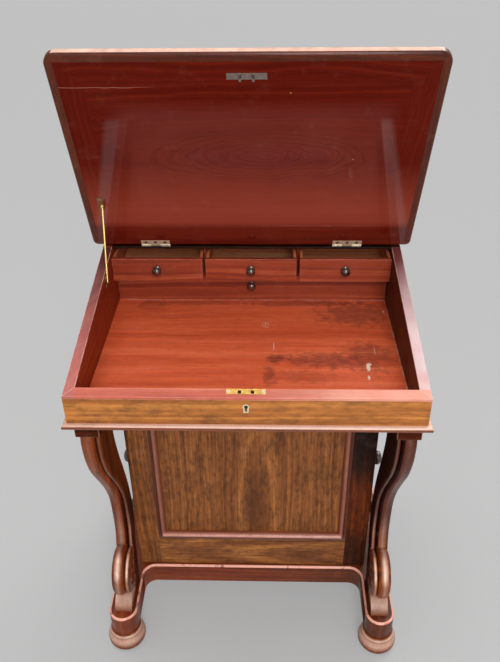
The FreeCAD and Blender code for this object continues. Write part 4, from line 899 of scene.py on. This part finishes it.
# The bead round the front panel, in mm: how far in from the opening, and how far proud of the frame.
BEAD = [(0.0, 0.3), (0.8, -0.9), (2.2, -1.9), (4.4, -2.0), (5.8, -1.0), (6.6, 0.8), (7.4, 2.2), (8.6, 3.0),
        (10.0, 2.9), (11.8, 1.8), (13.6, -0.2), (15.0, -2.6), (16.2, -5.0), (17.0, -8.0)]

COVE_ENDS, BEAD_CROWN, BEAD_HALF = 6.2, 10.5, 4.6


def panel_bead():
    """A bead and cove mitred round the panel, made by letting a face in step by step.

    The cove is darkened with painted shade. The bead carries a painted highlight, strongest along its lowest
    length, which faces up.
    """
    low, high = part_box("front_panel_moulding")
    frame_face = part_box("pedestal_front_frame")[0].y
    bench = Bench()
    corners = [(low.x, low.z), (high.x, low.z), (high.x, high.z), (low.x, high.z)]
    face = bench.bm.faces.new([bench.bm.verts.new((x, frame_face - BEAD[0][1] * MM, z)) for x, z in corners])
    for (inset, proud), (next_inset, next_proud) in zip(BEAD, BEAD[1:]):
        bmesh.ops.inset_individual(bench.bm, faces=[face], thickness=(next_inset - inset) * MM,
                                   use_even_offset=True)
        bmesh.ops.translate(bench.bm, verts=face.verts[:], vec=(0, (proud - next_proud) * MM, 0))
    bmesh.ops.delete(bench.bm, geom=[face], context="FACES_ONLY")
    bmesh.ops.bridge_loops(bench.bm, edges=[edge for edge in bench.bm.edges if edge.is_boundary])
    bmesh.ops.recalc_face_normals(bench.bm, faces=bench.bm.faces)
    for face in bench.bm.faces:
        spot = face.calc_center_median()
        if min(spot.x - low.x, high.x - spot.x) < min(spot.z - low.z, high.z - spot.z):
            bench.set_lie([face], "Z", (spot.x > 0, 0, 0))
        else:
            bench.set_lie([face], "U", (0, spot.z > 0.4, 0))
    bench.score(low + 22 * MM * Z, Z)
    for vert in bench.bm.verts:
        inset = min(vert.co.x - low.x, high.x - vert.co.x, vert.co.z - low.z, high.z - vert.co.z) / MM
        # Painted shade in the cove, painted highlight on the bead.
        highlight_share = 0.95 if vert.co.z - low.z < 20 * MM else 0.3
        if inset < COVE_ENDS:
            vert[bench.grime] = 0.75
        else:
            vert[bench.crest] = max(0.0, 1 - abs(inset - BEAD_CROWN) / BEAD_HALF) * highlight_share
    bench.set_down("panel_moulding", BEAD_WOOD, "front_panel_moulding", turn=50.0)


def make_pedestal():
    """The front frame and panel, the side frames, four drawers, four dummies opposite them, and the back."""
    low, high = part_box("pedestal_front_frame")
    stile, bottom_rail, top_rail = 44 * MM, 77 * MM, 60 * MM
    bench = Bench()
    bench.plank(low, (low.x + stile, high.y, high.z), "Z")
    # The right stile takes the darker copy of the veneer in slot 1, as painted shade.
    bench.plank((high.x - stile, low.y, low.z), high, "Z", slot=1)
    bench.plank((low.x + stile, low.y, low.z), (high.x - stile, high.y, low.z + bottom_rail), "U", 0.2 * MM)
    bench.plank((low.x + stile, low.y, high.z - top_rail), (high.x - stile, high.y, high.z), "U", 0.2 * MM)
    bench.set_down("front_frame", [STILE_WOOD, SHADED_WOOD], "pedestal_front_frame")

    board("front_panel", PANEL_WOOD, "pedestal_front_panel", "Z")
    panel_bead()

    for side in ("left", "right"):
        node = f"pedestal_{side}_frame"
        low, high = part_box(node)
        bench = Bench()
        bench.plank(low, (high.x, low.y + POST, high.z), "Z")
        bench.plank((low.x, high.y - POST, low.z), high, "Z")
        edges = sorted([low.z, high.z] + [level for i in SIDE_DRAWERS for level in drawer_levels(i)])
        for bottom, top in zip(edges[::2], edges[1::2]):
            bench.plank((low.x, low.y + POST, bottom), (high.x, high.y - POST, top), "Y")
        bench.set_down(f"{side}_side_frame", PANEL_WOOD, node)

    dummies, knobs = Bench(), Bench()
    gap = 0.3 * MM
    dummy_low, dummy_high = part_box("dummy_drawer_fronts")
    for i in SIDE_DRAWERS:
        node = f"side_drawer_{i}"
        low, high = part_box(node)
        front, near, far = high.x - 18 * MM, low.y + gap + THIN, high.y - gap - THIN
        bench = Bench()
        bench.plank((front, low.y, low.z), high, "Y", 0.8 * MM)
        for y in (low.y + gap, far):
            bench.plank((low.x, y, low.z), (front, y + THIN, high.z - 1 * MM), "X", 0.4 * MM, slot=1)
        bench.plank((low.x, near, low.z), (low.x + THIN, far, high.z - 3 * MM), "Y", 0.4 * MM, slot=1)
        bench.plank((low.x + THIN, near, low.z + BOTTOM_LOW), (front, far, low.z + BOTTOM_HIGH), "X", 0.2 * MM,
                    slot=1)
        bench.set_down(f"side_drawer_body_{i}", [PANEL_WOOD, DRAWER_WOOD], node)
        dummies.plank((dummy_low.x, low.y, low.z), (dummy_high.x, high.y, high.z), "Y", 0.8 * MM)

        knob_low, knob_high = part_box(f"{node}_knobs")
        radius, level = (knob_high.z - knob_low.z) / 2, (knob_low.z + knob_high.z) / 2
        pair = Bench()
        for y in (knob_low.y + radius, knob_high.y - radius):
            pair.turned(KNOB, (high.x, y, level), X, radius, "X")
            knobs.turned(KNOB, (dummy_low.x, y, level), -X, radius, "X")
        pair.set_down(f"side_turned_knobs_{i}", KNOB_WOOD, f"{node}_knobs", turn=60.0)
    dummies.set_down("dummy_fronts", PANEL_WOOD, "dummy_drawer_fronts")
    knobs.set_down("dummy_turned_knobs", KNOB_WOOD, "dummy_drawer_knobs", turn=60.0)
    refinish("drawer_runners", DRAWER_WOOD)
    board("rear_board", PANEL_WOOD, "pedestal_back", "Z")


def drawer_levels(number):
    """The opening that a side drawer runs in, a hair wider than its front."""
    low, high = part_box(f"side_drawer_{number}")
    return low.z - 0.6 * MM, high.z + 0.6 * MM


# ---------------------------------------------------------------- plinth, feet and supports

# In mm: the inner sides' distance from the middle, the width, the caps' front and the plinth's top.
SUPPORT_FACE, SUPPORT_WIDE, SUPPORT_FRONT, SUPPORT_LOW = 237.0, 35.0, -216.0, 92.0
OUTER_SIDE = SUPPORT_FACE + SUPPORT_WIDE
# The middles of the roll, the quirk and the bead, across the support from its outer side.
ROLL, QUIRK, BEADED = 12.4, 25.0, 30.4
# Each point of the support's outline: how far behind the cap's front, and how high, in mm.
STEM_FRONT = [(12, 582), (7, 566), (6.5, 548), (11.5, 516), (27, 476), (60, 422), (87, 376), (107, 328),
              (112.5, 282), (112.5, 237), (104, 205)]
STEM_REAR = [(86, 582), (87, 552), (89, 506), (102, 454), (118, 406), (132, 362), (142, 318), (147, 278),
             (144, 237), (132, 182), (124, 136), (120, 92)]
# Across the support, from its outer side: how far the front is worked back at each step.
STEM_SECTION = [(0, 9.5), (0.5, 6.4), (1.8, 3.8), (4.2, 1.7), (8.0, 0.5), (12.4, 0.0), (16.8, 0.5), (20.4, 1.9),
                (23.0, 4.2), (24.4, 7.2), (25.0, 9.5), (25.6, 7.6), (26.6, 5.8), (28.4, 4.6), (30.4, 4.3),
                (32.4, 4.9), (33.9, 6.4), (34.7, 8.6), (35, 12)]
# The volute's rim, from its outer side: radius at each step across.
VOLUTE_RIM = [(0.0, 31), (0.0, 40.5), (0.6, 43.0), (2.0, 45.6), (4.6, 48.2), (8.4, 49.9), (13.0, 50.5),
              (17.6, 49.9), (21.2, 48.2), (24.0, 45.4), (25.2, 42.2), (26.2, 44.2), (27.8, 45.6), (29.8, 46.1),
              (31.8, 45.5), (33.6, 43.6), (34.7, 41.0), (35.0, 38.5), (35.0, 31)]
# The eye in each cheek of the volute: (radius, how deep), from its middle outwards.
VOLUTE_EYE = [(0, 0.4), (2.6, 0.0), (5.4, 0.6), (7.2, 2.2), (8.2, 3.2), (12.0, 2.6), (17.0, 2.0), (18.6, 1.0),
              (21.0, 0.8), (23.0, 2.2), (27.0, 1.6), (29.6, 0.5)]
VOLUTE_Y, VOLUTE_Z = -133.0, 161.0


def smooth_line(points, steps=6):
    """Places on a smooth line through points given as (back, up) in mm, all in the plane x = 0."""
    ends = [points[0]] + points + [points[-1]]
    line = []
    for before, start, stop, after in zip(ends, ends[1:], ends[2:], ends[3:]):
        for step in range(steps):
            t = step / steps
            line.append([0.5 * (2 * b + (c - a) * t + (2 * a - 5 * b + 4 * c - d) * t ** 2
                                + (3 * b - a - 3 * c + d) * t ** 3)
                         for a, b, c, d in zip(before, start, stop, after)])
    return [Vector((0, (SUPPORT_FRONT + back) * MM, up * MM)) for back, up in line + [points[-1]]]


def across_support(vert):
    """How far a corner lies from the support's outer side, in mm."""
    return OUTER_SIDE - abs(vert.co.x) / MM


def roll_highlight(across):
    """How strong the painted highlight is across the roll and the bead."""
    on_roll, on_bead = max(0.0, abs(across - ROLL) - 1.6), max(0.0, abs(across - BEADED) - 0.8)
    return max(0.0, 1 - on_roll / 4.6, 1 - on_bead / 2.0)


def shaded_inner_sides(faces, side):
    """The sides that face the pedestal or the back take the darker copy, as painted shade, and have less shine.
    """
    for face in faces:
        if face.normal.x * side < -0.6 or face.normal.y > 0.4:
            face.material_index = 1


def scroll_stem(bench, side):
    """The S-shaped stem, worked across its front into a broad roll, a quirk and a narrow bead."""
    front, rear = smooth_line(STEM_FRONT), smooth_line(STEM_REAR)
    heel = Vector((0, VOLUTE_Y * MM, SUPPORT_LOW * MM))
    outline = front + [heel] + rear[::-1]
    # The way in which each place is worked back: into the stem along its front, and nowhere else.
    ways = [Y]
    for before, after in zip(front, front[2:] + front[-1:]):
        run = after - before
        ways.append(Vector((0, -run.z, run.y)).normalized())
    ways += [Vector()] * (len(outline) - len(front))
    old = set(bench.bm.faces)
    place = bench.bm.verts.layers.int.new("place")
    verts = []
    for i, spot in enumerate(outline):
        vert = bench.bm.verts.new(spot)
        vert[place] = i
        verts.append(vert)
    face = bench.bm.faces.new(verts)
    for step, (across, back) in enumerate(STEM_SECTION):
        if step:
            made = bmesh.ops.extrude_face_region(bench.bm, geom=[face])["geom"]
            if face.is_valid and step > 1:
                bench.bm.faces.remove(face)
            face = next(item for item in made if isinstance(item, bmesh.types.BMFace))
        edge_in = 1.6 if step in (0, len(STEM_SECTION) - 1) else 0.0
        for vert in face.verts:
            i = vert[place]
            vert.co = outline[i] + ways[i] * back * MM
            vert.co.x = side * (OUTER_SIDE - across) * MM
            if i > len(front):
                vert.co.y -= edge_in * MM
            across = across_support(vert)
            # Painted highlight on the roll and the bead, stronger near the foot; painted shade in the quirk and
            # on the bead higher up.
            if i < len(front):
                low = min(1.0, max(0.0, (0.3 - vert.co.z) / 0.06))
                vert[bench.crest] = (0.07 + 0.2 * low) * roll_highlight(across)
                on_bead = 0.55 * (1 - low) if across > QUIRK + 0.4 else 0.0
                vert[bench.grime] = max(on_bead, 1 - abs(across - QUIRK) / 1.6)
    fresh_faces = [item for item in bench.bm.faces if item not in old]
    bmesh.ops.recalc_face_normals(bench.bm, faces=fresh_faces)
    bench.set_lie(fresh_faces, "Z")
    shaded_inner_sides(fresh_faces, side)


def volute(bench, side):
    """The scroll at the foot of the stem: a turned roll and bead, with an eye let into each cheek."""
    profile = VOLUTE_EYE + [(radius, across) for across, radius in VOLUTE_RIM]
    profile += [(radius, SUPPORT_WIDE - across) for radius, across in reversed(VOLUTE_EYE)]
    centre = Vector((side * OUTER_SIDE * MM, VOLUTE_Y * MM, VOLUTE_Z * MM))
    faces = bench.turned(profile, centre, -X * side, MM, "Z", steps=72)
    brightest_rise, cheek = 52, 38 * MM
    for vert in in_order(vert for face in faces for vert in face.verts):
        across, away = across_support(vert), vert.co - centre
        if math.hypot(away.y, away.z) < cheek:
            continue
        # Painted highlight on the roll and the bead, brightest at the given rise; painted shade in the groove
        # between them.
        rise = math.degrees(math.atan2(away.z, -away.y))
        vert[bench.crest] = roll_highlight(across) * min(1.0, max(0.25, 1.5 - abs(rise - brightest_rise) / 30))
        vert[bench.grime] = max(0.0, 1 - abs(across - 25.2) / 1.4)


# A bun foot, as (radius, height) in mm: the bun, a neck, a ring and the spigot's collar.
FOOT = [(0.0, 0.0), (27.0, 0.0), (31.5, 0.8), (35.0, 3.6), (37.2, 8.2), (37.8, 13.6), (37.2, 19.0),
        (35.4, 24.2), (32.8, 28.6), (30.6, 31.6), (29.6, 33.4), (29.9, 34.4), (31.4, 35.2), (32.2, 36.8),
        (31.8, 38.6), (30.4, 39.6), (29.6, 40.4), (29.4, 43.4), (0.0, 43.4)]
FOOT_RADIUS = max(FOOT)[0]


def tops_highlight(bench):
    """Faces that look up and forward get a painted highlight."""
    bench.bm.normal_update()
    for vert in bench.bm.verts:
        vert[bench.crest] = 0.5 * max(0.0, min(1.0, 1.6 * vert.normal.z)) if vert.normal.y < 0.5 else 0.0


def make_plinth():
    """Two arms that run forwards and the boards between them. Its moulding's rounding, which faces up, gets a
    painted highlight stronger than an arris.
    """
    bench = copied("plinth")
    made_whole(bench.bm)
    bench.bm.normal_update()
    # Painted highlight on the faces of the rounding that look up.
    for face in bench.bm.faces:
        face[bench.arris] = 2.8 if 0.15 < face.normal.z < 0.97 else 0.0
    low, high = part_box("plinth")
    arm = 56 * MM
    for x in (low.x + arm, high.x - arm):
        bench.score((x, 0, 0), X)
    arms = [face for face in bench.bm.faces if abs(face.calc_center_median().x) > high.x - arm]
    rails = [face for face in bench.bm.faces if abs(face.calc_center_median().x) <= high.x - arm]
    bench.set_lie(arms, "Y")
    bench.set_lie(rails, "U")
    bench.set_down("moulded_plinth", PLINTH_WOOD, "plinth")


def make_feet():
    """Four bun feet, with painted highlights on their rings and round their middles, and painted shade in their
    necks.
    """
    low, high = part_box("bun_feet")
    reach = FOOT_RADIUS * MM
    bench = Bench()
    for x in (low.x + reach, high.x - reach):
        for y in (low.y + reach, high.y - reach):
            faces = bench.turned(FOOT, (x, y, 0), Z, MM, "Z", steps=64)
            for vert in in_order(vert for face in faces for vert in face.verts):
                level = vert.co.z / MM
                # Painted highlight on the ring and the bun's middle, painted shade in the neck.
                vert[bench.crest] = max(0.0, 1 - abs(level - 37.4) / 3.4, 0.55 - abs(level - 26) / 24)
                vert[bench.grime] = max(0.0, 0.9 - abs(level - 33.2) / 1.6)
    bench.set_down("turned_feet", SUPPORT_WOOD, "bun_feet", turn=50.0)


def make_supports():
    """The two scrolls with their toes and caps."""
    for name, side in (("left", -1), ("right", 1)):
        bench = Bench()
        scroll_stem(bench, side)
        volute(bench, side)
        bench.set_down(f"{name}_scroll", [SUPPORT_WOOD, SHADED_SUPPORT_WOOD], f"{name}_scroll_support", turn=48.0)
    eased_copy("scroll_toes", "toe_rolls", SUPPORT_WOOD, "X", 1.2 * MM, dress=tops_highlight)
    # The caps take the darker copy, as painted shade under the case.
    eased_copy("support_caps", "cap_blocks", SHADED_SUPPORT_WOOD, "X", 1.5 * MM)


def make_brasses():
    """Metal fittings stay as the CAD has them and only take a finish."""
    for finish, nodes in (
            (OLD_BRASS, ("case_hinge_leaves", "lid_hinge_leaves", "keyhole_liner", "case_screws")),
            (DARK_BRASS, ("lid_stay_bracket", "stay_wall_plate")),
            (BRIGHT_BRASS, ("stay_rod",)), (PLATE_BRASS, ("lock_plate",)),
            (LOCK_STEEL, ("lock_case", "lock_bolt", "lid_link_plate", "lid_screws"))):
        for node in nodes:
            refinish(node, finish)


# ---------------------------------------------------------------- studio

def make_studio():
    """A pale floor that glows a little, soft light from three sides and one tall window."""
    scene = bpy.context.scene
    scene.view_settings.view_transform = "Standard"
    bm = bmesh.new()
    bmesh.ops.create_grid(bm, x_segments=1, y_segments=1, size=16.0)
    mesh = bpy.data.meshes.new("studio_floor")
    bm.to_mesh(mesh)
    bm.free()
    floor = bpy.data.objects.new("studio_floor", mesh)
    scene.collection.objects.link(floor)
    made, r, shader = fresh("studio_paper")
    feed(r, shader, Base_Color=tint(126, 126, 126), Roughness=0.9, Specular_IOR_Level=0.1,
         Emission_Color=tint(255, 255, 255), Emission_Strength=0.255)
    mesh.materials.append(made)

    world = bpy.data.worlds.new("studio_air")
    world.use_nodes = True
    world.node_tree.nodes["Background"].inputs[0].default_value = (1, 1, 1, 1)
    world.node_tree.nodes["Background"].inputs[1].default_value = 0.5
    scene.world = world

    for name, toward, power, spread in (("front_light", (-0.15, 0.72, -0.68), 0.5, 30),
                                        ("top_light", (0.1, -0.1, -1.0), 1.3, 40),
                                        ("rear_light", (-0.45, -0.60, -0.66), 1.2, 36)):
        lamp = bpy.data.lights.new(name, "SUN")
        lamp.energy, lamp.angle = power, math.radians(spread)
        stand = bpy.data.objects.new(name, lamp)
        stand.matrix_world = (Matrix.Translation((0, -1, 2.5))
                              @ Vector(toward).to_track_quat("-Z", "Y").to_matrix().to_4x4())
        scene.collection.objects.link(stand)

    strip = bpy.data.lights.new("tall_window", "AREA")
    strip.shape, strip.size, strip.size_y, strip.energy = "RECTANGLE", 0.7, 2.8, 62
    stand = bpy.data.objects.new("tall_window", strip)
    spot = Vector((0.35, -2.7, 1.75))
    stand.matrix_world = (Matrix.Translation(spot)
                          @ (Vector((0, -0.1, 0.5)) - spot).to_track_quat("-Z", "Y").to_matrix().to_4x4())
    scene.collection.objects.link(stand)


def make_camera():
    """Above and in front of the desk, a little to the right, looking down."""
    focal, long_side = 713.7, 662.0
    pitch, yaw, roll = (math.radians(angle) for angle in (33.044, 1.807, -0.706))
    lens = bpy.data.cameras.new("camera")
    lens.sensor_width = 36.0
    lens.lens = focal / long_side * lens.sensor_width
    camera = bpy.data.objects.new("camera", lens)
    turn = (Matrix.Rotation(yaw, 4, "Z") @ Matrix.Rotation(math.pi / 2 - pitch, 4, "X")
            @ Matrix.Rotation(roll, 4, "Z"))
    stands_at = (0.0331, -1.0687, 1.34095)
    camera.matrix_world = Matrix.Translation(stands_at) @ turn
    bpy.context.scene.collection.objects.link(camera)
    bpy.context.scene.camera = camera


make_camera()
make_case()
make_lid()
make_drawers()
make_pedestal()
make_plinth()
make_feet()
make_supports()
make_brasses()
make_studio()
